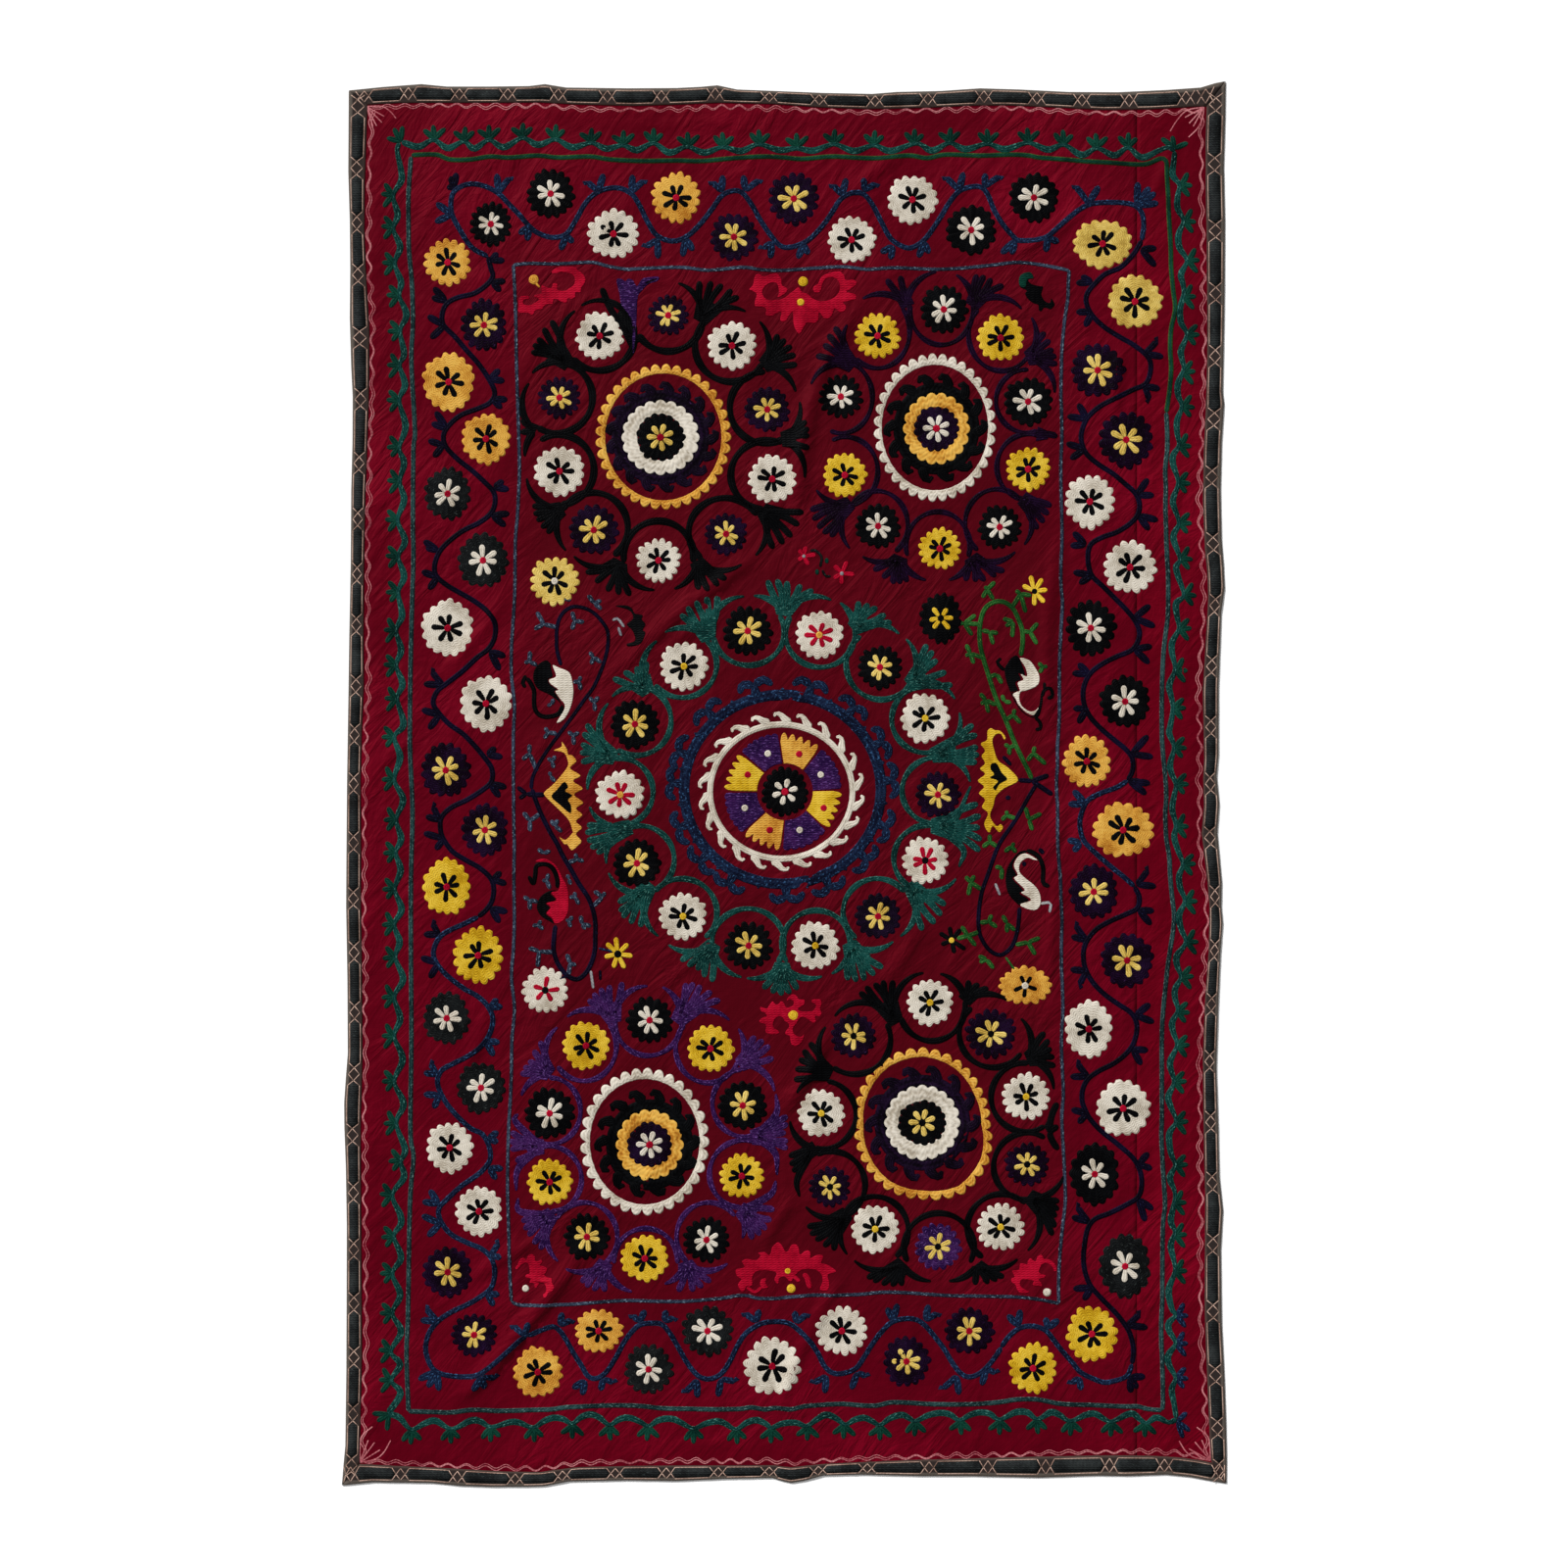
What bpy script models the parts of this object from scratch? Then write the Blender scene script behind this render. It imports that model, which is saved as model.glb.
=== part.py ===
"""Embroidered suzani cover: two widths of satin seamed side by side, lying flat, with a few soft
drag folds, and a woven band folded over all four edges and mitred at the corners.

+X is the cloth's right, +Y its top, +Z up off the floor. The origin is on the floor at the middle.
Places on the cloth are read in chart units, x to the right and y down, from the chart's corner."""

import math

import bmesh
import bpy
import numpy as np
from mathutils import Vector, geometry

MM = 0.001
CHART_UNIT = 1.678 * MM            # one chart unit on the real cloth
CHART_MID_X, CHART_MID_Y = 800.25, 800.0   # the chart place that lies over the origin
CLOTH_THICK = 1.5 * MM             # satin with its embroidery
BAND_THICK = 1.0 * MM              # woven edge band
GAP = 0.3 * MM                     # between one piece and the next
BAND_HEIGHT = 2 * BAND_THICK + 2 * GAP + CLOTH_THICK   # folded band from floor to face
# Section of the folded band, outside and inside: share of the face's width in from the outline, and
# height. It starts at the face's inner line, goes round the bend and ends under the cloth.
BAND_OUTSIDE = (
    (1.0, BAND_HEIGHT), (0.055, BAND_HEIGHT), (0.0, 0.5 * BAND_HEIGHT), (0.055, 0.0), (0.62, 0.0),
)
BAND_INSIDE = (
    (1.0, BAND_HEIGHT - BAND_THICK), (0.075, BAND_HEIGHT - BAND_THICK), (0.045, 0.5 * BAND_HEIGHT),
    (0.075, BAND_THICK), (0.62, BAND_THICK),
)
MITRE_EASE = 0.25 * MM             # each band is cut this much short of the mitre
CLOTH_INSET = 3.0 * MM             # cloth's raw edge, in from the band's bend
CLOTH_LIFT = BAND_THICK + GAP      # cloth lies this high where the band's back leg is under it
LIFT_START, LIFT_END = 40 * MM, 80 * MM   # it comes down to the floor between these, from the outline
FOLD_FADE = 40 * MM                # folds die out over this much beside the band
FOLD_END = 0.3                     # share of a fold's length over which it dies out at each end
SEAM_X = 1160.0                    # chart x of the seam between the two widths
FLOOR_STEP = 105 * MM              # point spacing where the cloth is flat
ROW_SHIFT = 0.25                   # flat rows are set over by this much of a step, turn about
SEAM_STEP = 74 * MM                # point spacing down the seam
FOLD_STEP = 30 * MM                # spacing along a fold
FOLD_ROWS = (-1.0, -0.66, -0.33, 0.0, 0.33, 0.66, 1.0)   # rows across a fold, of its half width
POINT_ROOM = 6 * MM                # no fold point closer to another point than this
FLOOR_ROOM = 21 * MM               # no flat point closer to another point than this
EDGE_ROOM = 18 * MM                # no edge point closer to a corner or the seam than this
SEAM_ROOM = 9 * MM                 # no fold point closer to the seam than this

# Corners, in chart units: outer x, outer y, inner x, inner y
CORNERS = {
    "top_left": (356.0, 92.5, 375.0, 107.0),
    "top_right": (1250.5, 83.0, 1231.0, 109.0),
    "bottom_left": (349.0, 1515.5, 367.0, 1493.5),
    "bottom_right": (1251.3, 1513.5, 1236.0, 1492.0),
}
# Edges, in chart units: place along the side, outline, inner line of the band's face
TOP_EDGE = (
    (390, 89.0, 105.5), (430, 86.0, 105.0), (456, 88.5, 105.0), (500, 88.5, 105.2),
    (540, 88.0, 104.5), (556, 86.0, 104.8), (578, 89.5, 106.5), (640, 90.3, 108.5),
    (690, 90.0, 107.0), (715, 88.8, 105.8), (732, 87.2, 105.0), (752, 91.5, 105.5),
    (790, 93.0, 106.3), (840, 95.0, 110.0), (890, 96.0, 111.5), (915, 94.0, 111.0),
    (960, 93.0, 109.5), (1000, 90.3, 107.5), (1040, 91.5, 107.8), (1090, 94.0, 110.5),
    (1140, 94.3, 113.3), (1190, 92.0, 111.0), (1225, 89.5, 108.5), (1240, 85.0, 108.3),
)
BOTTOM_EDGE = (
    (380, 1512.3, 1494.3), (440, 1513.0, 1497.0), (470, 1516.0, 1498.5), (500, 1517.0, 1500.5),
    (540, 1516.8, 1502.5), (556, 1516.3, 1501.5), (580, 1511.5, 1497.0), (640, 1510.3, 1495.5),
    (690, 1511.0, 1495.0), (740, 1508.8, 1495.0), (788, 1507.8, 1494.5), (798, 1511.0, 1496.0),
    (807, 1513.0, 1497.0), (820, 1511.0, 1495.5), (840, 1505.5, 1493.5), (880, 1504.5, 1491.5),
    (940, 1506.0, 1489.0), (990, 1506.0, 1488.0), (1060, 1507.5, 1486.0), (1120, 1505.5, 1484.8),
    (1150, 1506.0, 1484.5), (1190, 1504.5, 1485.5), (1215, 1507.0, 1488.0), (1236, 1511.0, 1491.0),
)
LEFT_EDGE = (
    (175, 355.5, 372.5), (225, 357.0, 371.5), (275, 357.5, 373.0), (325, 357.0, 377.0),
    (375, 358.5, 377.0), (405, 360.0, 376.5), (450, 359.8, 375.0), (500, 358.5, 373.0),
    (575, 358.0, 371.5), (650, 356.5, 371.0), (700, 355.8, 371.3), (750, 355.0, 369.0),
    (800, 354.2, 368.0), (875, 353.6, 368.5), (925, 353.3, 368.3), (1000, 354.6, 369.5),
    (1075, 355.0, 369.8), (1100, 353.0, 369.5), (1125, 351.3, 368.5), (1150, 351.5, 368.0),
    (1190, 353.0, 368.3), (1250, 354.0, 368.5), (1325, 353.8, 369.0), (1400, 353.5, 369.5),
    (1475, 352.5, 367.0), (1495, 350.6, 366.5),
)
RIGHT_EDGE = (
    (120, 1250.0, 1230.5), (170, 1248.5, 1229.5), (225, 1249.7, 1231.0), (300, 1249.3, 1231.5),
    (350, 1248.5, 1232.0), (400, 1247.5, 1231.0), (412, 1249.0, 1230.5), (450, 1246.5, 1228.5),
    (500, 1245.3, 1227.0), (550, 1246.3, 1228.0), (575, 1248.3, 1231.0), (600, 1249.5, 1233.0),
    (625, 1246.0, 1232.0), (700, 1243.3, 1227.0), (770, 1243.2, 1228.8), (792, 1241.3, 1227.5),
    (820, 1244.0, 1228.5), (850, 1242.0, 1226.0), (900, 1246.5, 1232.0), (925, 1246.0, 1234.0),
    (942, 1247.5, 1233.8), (975, 1245.0, 1233.0), (1025, 1243.0, 1229.0), (1090, 1241.0, 1227.0),
    (1150, 1243.0, 1228.0), (1200, 1244.0, 1229.0), (1235, 1247.8, 1230.0), (1275, 1245.5, 1229.0),
    (1350, 1246.5, 1229.0), (1400, 1249.0, 1231.5), (1450, 1250.8, 1233.5), (1490, 1251.5, 1235.0),
)
# Folds: start x, start y, end x, end y and bow to the left, in chart units; height, left half
# width and right half width, in mm
FOLDS = (
    (888, 292, 820, 566, -30, 7.0, 26, 20), (792, 556, 612, 700, -6, 6.5, 17, 26),
    (742, 610, 668, 668, 4, 4.0, 16, 20), (524, 588, 444, 704, 5, 5.0, 18, 24),
    (1086, 532, 1076, 772, -14, 5.5, 22, 17), (1084, 806, 1070, 884, 3, 4.0, 16, 20),
    (1080, 896, 1070, 1012, -3, 5.0, 22, 16), (946, 928, 892, 1014, 5, 4.5, 20, 24),
    (848, 1040, 792, 1146, 6, 6.5, 17, 24), (816, 1214, 776, 1284, -4, 5.0, 18, 22),
    (606, 1256, 452, 1446, 8, 9.0, 20, 28), (560, 1260, 470, 1316, -5, 5.0, 18, 22),
    (876, 1282, 788, 1462, -10, 5.0, 16, 20), (1108, 1368, 1214, 1478, 6, 8.0, 24, 18),
    (1114, 200, 1032, 264, 5, 4.5, 18, 22), (934, 150, 852, 212, -4, 4.0, 16, 22),
    (1150, 344, 1138, 432, -6, 4.5, 18, 16), (1204, 462, 1182, 566, 4, 4.5, 18, 20),
    (378, 790, 428, 752, 3, 3.5, 16, 18), (500, 1026, 474, 1092, 3, 4.5, 16, 18),
    (606, 128, 782, 126, 3, 3.0, 14, 16), (1184, 1150, 1200, 1252, -5, 4.5, 18, 16),
    (668, 1482, 758, 1472, 2, 3.5, 14, 16), (1200, 126, 1172, 208, 4, 4.0, 18, 16),
)


def on_floor(x, y):
    """A chart place in metres from the origin."""
    return (x - CHART_MID_X) * CHART_UNIT, (CHART_MID_Y - y) * CHART_UNIT


def smooth_step(t):
    """0 below 0, 1 above 1, and a soft rise between."""
    t = np.clip(t, 0.0, 1.0)
    return t * t * (3.0 - 2.0 * t)


def side_rows(table, first, last, across):
    """A side's rows with its corners added: along, outline, inner line, and the inner line's own
    place along, which is squeezed in from corner to corner so that the ends are mitred."""
    a, b = CORNERS[first], CORNERS[last]
    i = 1 if across else 0
    rows = [(a[i], a[1 - i], a[3 - i])] + list(table) + [(b[i], b[1 - i], b[3 - i])]
    along, outline, inner = (np.array(c, float) for c in zip(*rows))
    inner_along = np.interp(along, (a[i], b[i]), (a[2 + i], b[2 + i]))
    between = (along > a[2 + i] + 1.0) & (along < b[2 + i] - 1.0)
    own_along = np.concatenate([[a[2 + i]], along[between], [b[2 + i]]])
    own_inner = np.concatenate([inner[:1], inner[between], inner[-1:]])
    return along, outline, np.interp(inner_along, own_along, own_inner), inner_along


SIDES = {
    "top": side_rows(TOP_EDGE, "top_left", "top_right", False),
    "bottom": side_rows(BOTTOM_EDGE, "bottom_left", "bottom_right", False),
    "left": side_rows(LEFT_EDGE, "top_left", "bottom_left", True),
    "right": side_rows(RIGHT_EDGE, "top_right", "bottom_right", True),
}


def from_outline(x, y):
    """Distance in metres from a chart place to the nearest side of the outline."""
    top, bottom = (np.interp(x, SIDES[s][0], SIDES[s][1]) for s in ("top", "bottom"))
    left, right = (np.interp(y, SIDES[s][0], SIDES[s][1]) for s in ("left", "right"))
    near = np.minimum.reduce([y - top, bottom - y, x - left, right - x])
    return near * CHART_UNIT


def fold_place(fold, t, side):
    """A chart place on a fold: t runs from its start to its end and side from -1 to 1 across it."""
    x0, y0, x1, y1, bow, _, left, right = fold
    length = math.hypot(x1 - x0, y1 - y0)
    nx, ny = (y1 - y0) / length, -(x1 - x0) / length
    half = (left if side > 0 else right) * MM / CHART_UNIT
    off = bow * 4.0 * t * (1.0 - t) + side * half
    return x0 + (x1 - x0) * t + nx * off, y0 + (y1 - y0) * t + ny * off


def fold_height(fold, x, y):
    """Height of one fold at a chart place: a half wave across, dying out towards both ends."""
    x0, y0, x1, y1, bow, height, left, right = fold
    length = math.hypot(x1 - x0, y1 - y0)
    dx, dy = (x1 - x0) / length, (y1 - y0) / length
    t = ((x - x0) * dx + (y - y0) * dy) / length
    off = (x - x0) * dy - (y - y0) * dx - bow * 4.0 * t * (1.0 - t)
    side = off * CHART_UNIT / (np.where(off > 0, left, right) * MM)
    across = np.where(np.abs(side) < 1.0, 0.5 + 0.5 * np.cos(np.pi * np.clip(side, -1, 1)), 0.0)
    ends = smooth_step(t / FOLD_END) * smooth_step((1.0 - t) / FOLD_END)
    return height * MM * across * ends


def cloth_height(x, y):
    """Underside of the cloth at chart places: up on the band's back leg near the outline, on the
    floor inside it, and raised in the folds."""
    near = from_outline(x, y)
    lift = CLOTH_LIFT * (1.0 - smooth_step((near - LIFT_START) / (LIFT_END - LIFT_START)))
    folds = sum(fold_height(f, x, y) for f in FOLDS)
    return lift + folds * smooth_step((near - LIFT_START) / FOLD_FADE)


def new_object(name, mesh, material, collection):
    obj = bpy.data.objects.new(name, mesh)
    obj.data.materials.append(material)
    collection.objects.link(obj)
    return obj


def edge_line(depth, seam_side):
    """A line round one width at a depth in metres inside the outline: from the seam along the top,
    down the side and back along the bottom to the seam, as chart places."""
    d = depth / CHART_UNIT
    seam = SEAM_X + seam_side * 0.5 * GAP / CHART_UNIT
    top, bottom = SIDES["top"], SIDES["bottom"]
    side = SIDES["left"] if seam_side < 0 else SIDES["right"]

    def at(line, along):
        return float(np.interp(along, line[0], line[1]))

    corners = []
    for line, inward, y in ((top, d, side[0][0]), (bottom, -d, side[0][-1])):
        x = at(side, y + inward) - seam_side * d
        corners.append((x, at(line, x) + inward))
    room = EDGE_ROOM / CHART_UNIT
    runs = []
    for line, inward, corner in ((top, d, corners[0]), (bottom, -d, corners[1])):
        low, high = sorted((seam, corner[0]))
        xs = [x for x in line[0] if low + room < x < high - room]
        runs.append([(x, at(line, x) + inward) for x in sorted(xs, key=lambda v: abs(v - seam))])
    down = [(at(side, y) - seam_side * d, y) for y in side[0]
            if corners[0][1] + room < y < corners[1][1] - room]
    ends = [(seam, at(top, seam) + d), (seam, at(bottom, seam) - d)]
    return [ends[0]] + runs[0] + [corners[0]] + down + [corners[1]] + runs[1][::-1] + [ends[1]]


def cloth_frame(seam_side):
    """Chart places and joining lines that every triangle of one width keeps to: its raw edge, the
    seam, and the lines where it leaves the band and meets the floor."""
    lines = [edge_line(depth, seam_side) for depth in (CLOTH_INSET, LIFT_START, LIFT_END)]
    places = [p for line in lines for p in line]
    edges = []
    start = 0
    for line in lines:
        edges += [(start + k, start + k + 1) for k in range(len(line) - 1)]
        start += len(line)
    seam, top = lines[-1][0]
    bottom = lines[-1][-1][1]
    steps = max(2, round((bottom - top) * CHART_UNIT / SEAM_STEP))
    places += [(seam, top + (bottom - top) * k / steps) for k in range(1, steps)]
    on_seam = [k for k, p in enumerate(places) if p[0] == seam]
    on_seam.sort(key=lambda k: places[k][1])
    return places, edges + list(zip(on_seam, on_seam[1:]))


def cloth_places(frame, seam_side):
    """The frame's places, and inside it rows along each fold and an even spread over the rest."""
    wanted = []
    for fold in FOLDS:
        length = math.hypot(fold[2] - fold[0], fold[3] - fold[1]) * CHART_UNIT
        count = max(4, round(length / FOLD_STEP))
        for k in range(count + 1):
            wanted += [(fold_place(fold, k / count, side), POINT_ROOM) for side in FOLD_ROWS]
    kept = np.array(frame)
    x0, y0 = kept.min(axis=0)
    x1, y1 = kept.max(axis=0)
    across = max(2, round((x1 - x0) * CHART_UNIT / FLOOR_STEP))
    down = max(2, round((y1 - y0) * CHART_UNIT / FLOOR_STEP))
    for j in range(1, down):
        for i in range(1, across):
            shift = ROW_SHIFT if j % 2 else -ROW_SHIFT
            place = x0 + (x1 - x0) * (i + shift) / across, y0 + (y1 - y0) * j / down
            wanted.append((place, FLOOR_ROOM))
    for (x, y), room in wanted:
        near = from_outline(x, y)
        lines = min(abs(near - LIFT_START), abs(near - LIFT_END))
        if near < CLOTH_INSET + room or lines < POINT_ROOM:
            continue
        if seam_side * (x - SEAM_X) * CHART_UNIT < SEAM_ROOM:
            continue
        if np.min(np.hypot(kept[:, 0] - x, kept[:, 1] - y)) * CHART_UNIT > room:
            kept = np.vstack([kept, (x, y)])
    return kept


def make_cloth(name, seam_side, material, collection):
    """One width of the cloth: its places joined into triangles, raised, and given thickness."""
    frame, edges = cloth_frame(seam_side)
    flat = [Vector(on_floor(x, y)) for x, y in cloth_places(frame, seam_side)]
    verts, _, faces, *_ = geometry.delaunay_2d_cdt(flat, edges, [], 0, 1e-7, False)
    plan = np.array([tuple(v) for v in verts])
    x, y = plan[:, 0] / CHART_UNIT + CHART_MID_X, CHART_MID_Y - plan[:, 1] / CHART_UNIT
    faces = np.array(faces)
    inside = from_outline(x[faces].mean(axis=1), y[faces].mean(axis=1)) > CLOTH_INSET
    mesh = bpy.data.meshes.new(name)
    points = np.column_stack([plan, cloth_height(x, y)])
    mesh.from_pydata(points.tolist(), [], faces[inside].tolist())
    bm = bmesh.new()
    bm.from_mesh(mesh)
    bm.normal_update()
    if sum(f.normal.z for f in bm.faces) < 0:
        bmesh.ops.reverse_faces(bm, faces=bm.faces)
    bm.to_mesh(mesh)
    bm.free()
    obj = new_object(name, mesh, material, collection)
    shell = obj.modifiers.new("thickness", "SOLIDIFY")
    shell.thickness = CLOTH_THICK
    shell.offset = 1.0
    shell.use_even_offset = True
    return obj


def make_band(name, side, across, material, collection):
    """One length of the edge band, from mitre to mitre: its folded section carried along the side.
    One leg is the face, the bend is the outline and the other leg lies under the cloth."""
    along, outline, inner, inner_along = (c.copy() for c in SIDES[side])
    for line in (along, inner_along):
        line[0] += MITRE_EASE / CHART_UNIT
        line[-1] -= MITRE_EASE / CHART_UNIT
    bm = bmesh.new()
    skins = []
    for section in (BAND_OUTSIDE, BAND_INSIDE):
        skin = []
        for share, height in section:
            a = along + (inner_along - along) * share
            o = outline + (inner - outline) * share
            x, y = on_floor(o, a) if across else on_floor(a, o)
            skin.append([bm.verts.new((px, py, height)) for px, py in zip(x, y)])
        skins.append(skin)
    outside, inside = skins
    last = len(along) - 1
    for upper, lower in list(zip(outside, outside[1:])) + list(zip(inside, inside[1:])):
        for k in range(last):
            bm.faces.new((upper[k], upper[k + 1], lower[k + 1], lower[k]))
    for out_row, in_row in ((outside[0], inside[0]), (outside[-1], inside[-1])):
        for k in range(last):
            bm.faces.new((out_row[k], out_row[k + 1], in_row[k + 1], in_row[k]))
    for k in (0, last):
        for n in range(len(outside) - 1):
            bm.faces.new((outside[n][k], outside[n + 1][k], inside[n + 1][k], inside[n][k]))
    bmesh.ops.recalc_face_normals(bm, faces=bm.faces)
    mesh = bpy.data.meshes.new(name)
    bm.to_mesh(mesh)
    bm.free()
    return new_object(name, mesh, material, collection)


def make_material(name, colour, roughness):
    material = bpy.data.materials.new(name)
    material.use_nodes = True
    shader = material.node_tree.nodes["Principled BSDF"]
    shader.inputs["Base Color"].default_value = (*colour, 1.0)
    shader.inputs["Roughness"].default_value = roughness
    shader.inputs["Metallic"].default_value = 0.0
    return material


def main():
    for obj in list(bpy.data.objects):
        bpy.data.objects.remove(obj, do_unlink=True)
    collection = bpy.data.collections.new("suzani_cover")
    bpy.context.scene.collection.children.link(collection)
    crimson = make_material("crimson_satin", (0.130, 0.004, 0.010), 0.55)
    bright = make_material("bright_crimson_satin", (0.150, 0.004, 0.011), 0.55)
    charcoal = make_material("charcoal_band", (0.030, 0.030, 0.032), 0.75)
    make_cloth("wide_cloth", -1, crimson, collection)
    make_cloth("narrow_cloth", 1, bright, collection)
    make_band("top_band", "top", False, charcoal, collection)
    make_band("bottom_band", "bottom", False, charcoal, collection)
    make_band("left_band", "left", True, charcoal, collection)
    make_band("right_band", "right", True, charcoal, collection)


main()
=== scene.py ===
"""A suzani: a crimson satin cloth in two strips, bound with a charcoal band and sewn in silk chain stitch.

Places are read from the photograph on a chart whose unit is 1.678 mm, with x to the right and
y down the picture. They turn to metres, x to the right, y up the picture and z up from the floor.
"""

import bmesh
import bpy
import numpy as np
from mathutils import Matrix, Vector
from mathutils.geometry import tessellate_polygon


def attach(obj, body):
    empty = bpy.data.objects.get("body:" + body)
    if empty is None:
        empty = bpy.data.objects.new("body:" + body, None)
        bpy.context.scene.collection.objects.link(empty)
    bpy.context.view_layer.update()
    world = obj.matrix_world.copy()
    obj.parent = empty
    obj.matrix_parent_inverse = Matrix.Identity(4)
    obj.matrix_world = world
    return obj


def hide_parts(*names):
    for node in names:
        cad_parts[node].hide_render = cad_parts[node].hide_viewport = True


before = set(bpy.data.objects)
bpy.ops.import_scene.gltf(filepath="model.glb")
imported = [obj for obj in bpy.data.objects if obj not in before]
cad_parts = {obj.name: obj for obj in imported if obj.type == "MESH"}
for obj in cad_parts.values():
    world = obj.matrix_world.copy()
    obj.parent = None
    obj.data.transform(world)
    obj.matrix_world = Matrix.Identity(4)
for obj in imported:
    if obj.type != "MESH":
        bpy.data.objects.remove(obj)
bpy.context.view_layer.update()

MM = 0.001
CHART_UNIT = 1.678 * MM
UNIT_MM = CHART_UNIT / MM
CHART_X, CHART_Y = 800.25, 800.0
PICTURE_UNITS = 1600
CLOTH_THICK, BAND_THICK, GAP = 1.5 * MM, 1.0 * MM, 0.3 * MM
BAND_HEIGHT = 2 * BAND_THICK + 2 * GAP + CLOTH_THICK
CLOTH_INSET = 3 * MM
CLOTH_LIFT, LIFT_START, LIFT_END, FOLD_FADE, FOLD_END = 1.3 * MM, 40 * MM, 80 * MM, 40 * MM, 0.3
CRUMPLE_START, CRUMPLE_FADE, CRUMPLE_WAVE, CREASE_LIFT = 25 * MM, 20 * MM, 0.22 * MM, 1.4
SEAM_X, SEAM_GAP = 1160.0, 0.05 * MM

# ------------------------------------------------------------------ the outline and the folds, as in the part
CORNERS = {
    "TL": (356, 92.5, 375, 107), "TR": (1250.5, 83, 1231, 109),
    "BL": (349, 1515.5, 367, 1493.5), "BR": (1251.3, 1513.5, 1236, 1492),
}
TOP_EDGE = [
    (390, 89.0, 105.5), (430, 86.0, 105.0), (456, 88.5, 105.0), (500, 88.5, 105.2), (540, 88.0, 104.5),
    (556, 86.0, 104.8), (578, 89.5, 106.5), (640, 90.3, 108.5), (690, 90.0, 107.0), (715, 88.8, 105.8),
    (732, 87.2, 105.0), (752, 91.5, 105.5), (790, 93.0, 106.3), (840, 95.0, 110.0), (890, 96.0, 111.5),
    (915, 94.0, 111.0), (960, 93.0, 109.5), (1000, 90.3, 107.5), (1040, 91.5, 107.8), (1090, 94.0, 110.5),
    (1140, 94.3, 113.3), (1190, 92.0, 111.0), (1225, 89.5, 108.5), (1240, 85.0, 108.3),
]
BOTTOM_EDGE = [
    (380, 1512.3, 1494.3), (440, 1513.0, 1497.0), (470, 1516.0, 1498.5), (500, 1517.0, 1500.5),
    (540, 1516.8, 1502.5), (556, 1516.3, 1501.5), (580, 1511.5, 1497.0), (640, 1510.3, 1495.5),
    (690, 1511.0, 1495.0), (740, 1508.8, 1495.0), (788, 1507.8, 1494.5), (798, 1511.0, 1496.0),
    (807, 1513.0, 1497.0), (820, 1511.0, 1495.5), (840, 1505.5, 1493.5), (880, 1504.5, 1491.5),
    (940, 1506.0, 1489.0), (990, 1506.0, 1488.0), (1060, 1507.5, 1486.0), (1120, 1505.5, 1484.8),
    (1150, 1506.0, 1484.5), (1190, 1504.5, 1485.5), (1215, 1507.0, 1488.0), (1236, 1511.0, 1491.0),
]
LEFT_EDGE = [
    (175, 355.5, 372.5), (225, 357.0, 371.5), (275, 357.5, 373.0), (325, 357.0, 377.0), (375, 358.5, 377.0),
    (405, 360.0, 376.5), (450, 359.8, 375.0), (500, 358.5, 373.0), (575, 358.0, 371.5), (650, 356.5, 371.0),
    (700, 355.8, 371.3), (750, 355.0, 369.0), (800, 354.2, 368.0), (875, 353.6, 368.5), (925, 353.3, 368.3),
    (1000, 354.6, 369.5), (1075, 355.0, 369.8), (1100, 353.0, 369.5), (1125, 351.3, 368.5),
    (1150, 351.5, 368.0), (1190, 353.0, 368.3), (1250, 354.0, 368.5), (1325, 353.8, 369.0),
    (1400, 353.5, 369.5), (1475, 352.5, 367.0), (1495, 350.6, 366.5),
]
RIGHT_EDGE = [
    (120, 1250.0, 1230.5), (170, 1248.5, 1229.5), (225, 1249.7, 1231.0), (300, 1249.3, 1231.5),
    (350, 1248.5, 1232.0), (400, 1247.5, 1231.0), (412, 1249.0, 1230.5), (450, 1246.5, 1228.5),
    (500, 1245.3, 1227.0), (550, 1246.3, 1228.0), (575, 1248.3, 1231.0), (600, 1249.5, 1233.0),
    (625, 1246.0, 1232.0), (700, 1243.3, 1227.0), (770, 1243.2, 1228.8), (792, 1241.3, 1227.5),
    (820, 1244.0, 1228.5), (850, 1242.0, 1226.0), (900, 1246.5, 1232.0), (925, 1246.0, 1234.0),
    (942, 1247.5, 1233.8), (975, 1245.0, 1233.0), (1025, 1243.0, 1229.0), (1090, 1241.0, 1227.0),
    (1150, 1243.0, 1228.0), (1200, 1244.0, 1229.0), (1235, 1247.8, 1230.0), (1275, 1245.5, 1229.0),
    (1350, 1246.5, 1229.0), (1400, 1249.0, 1231.5), (1450, 1250.8, 1233.5), (1490, 1251.5, 1235.0),
]
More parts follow.
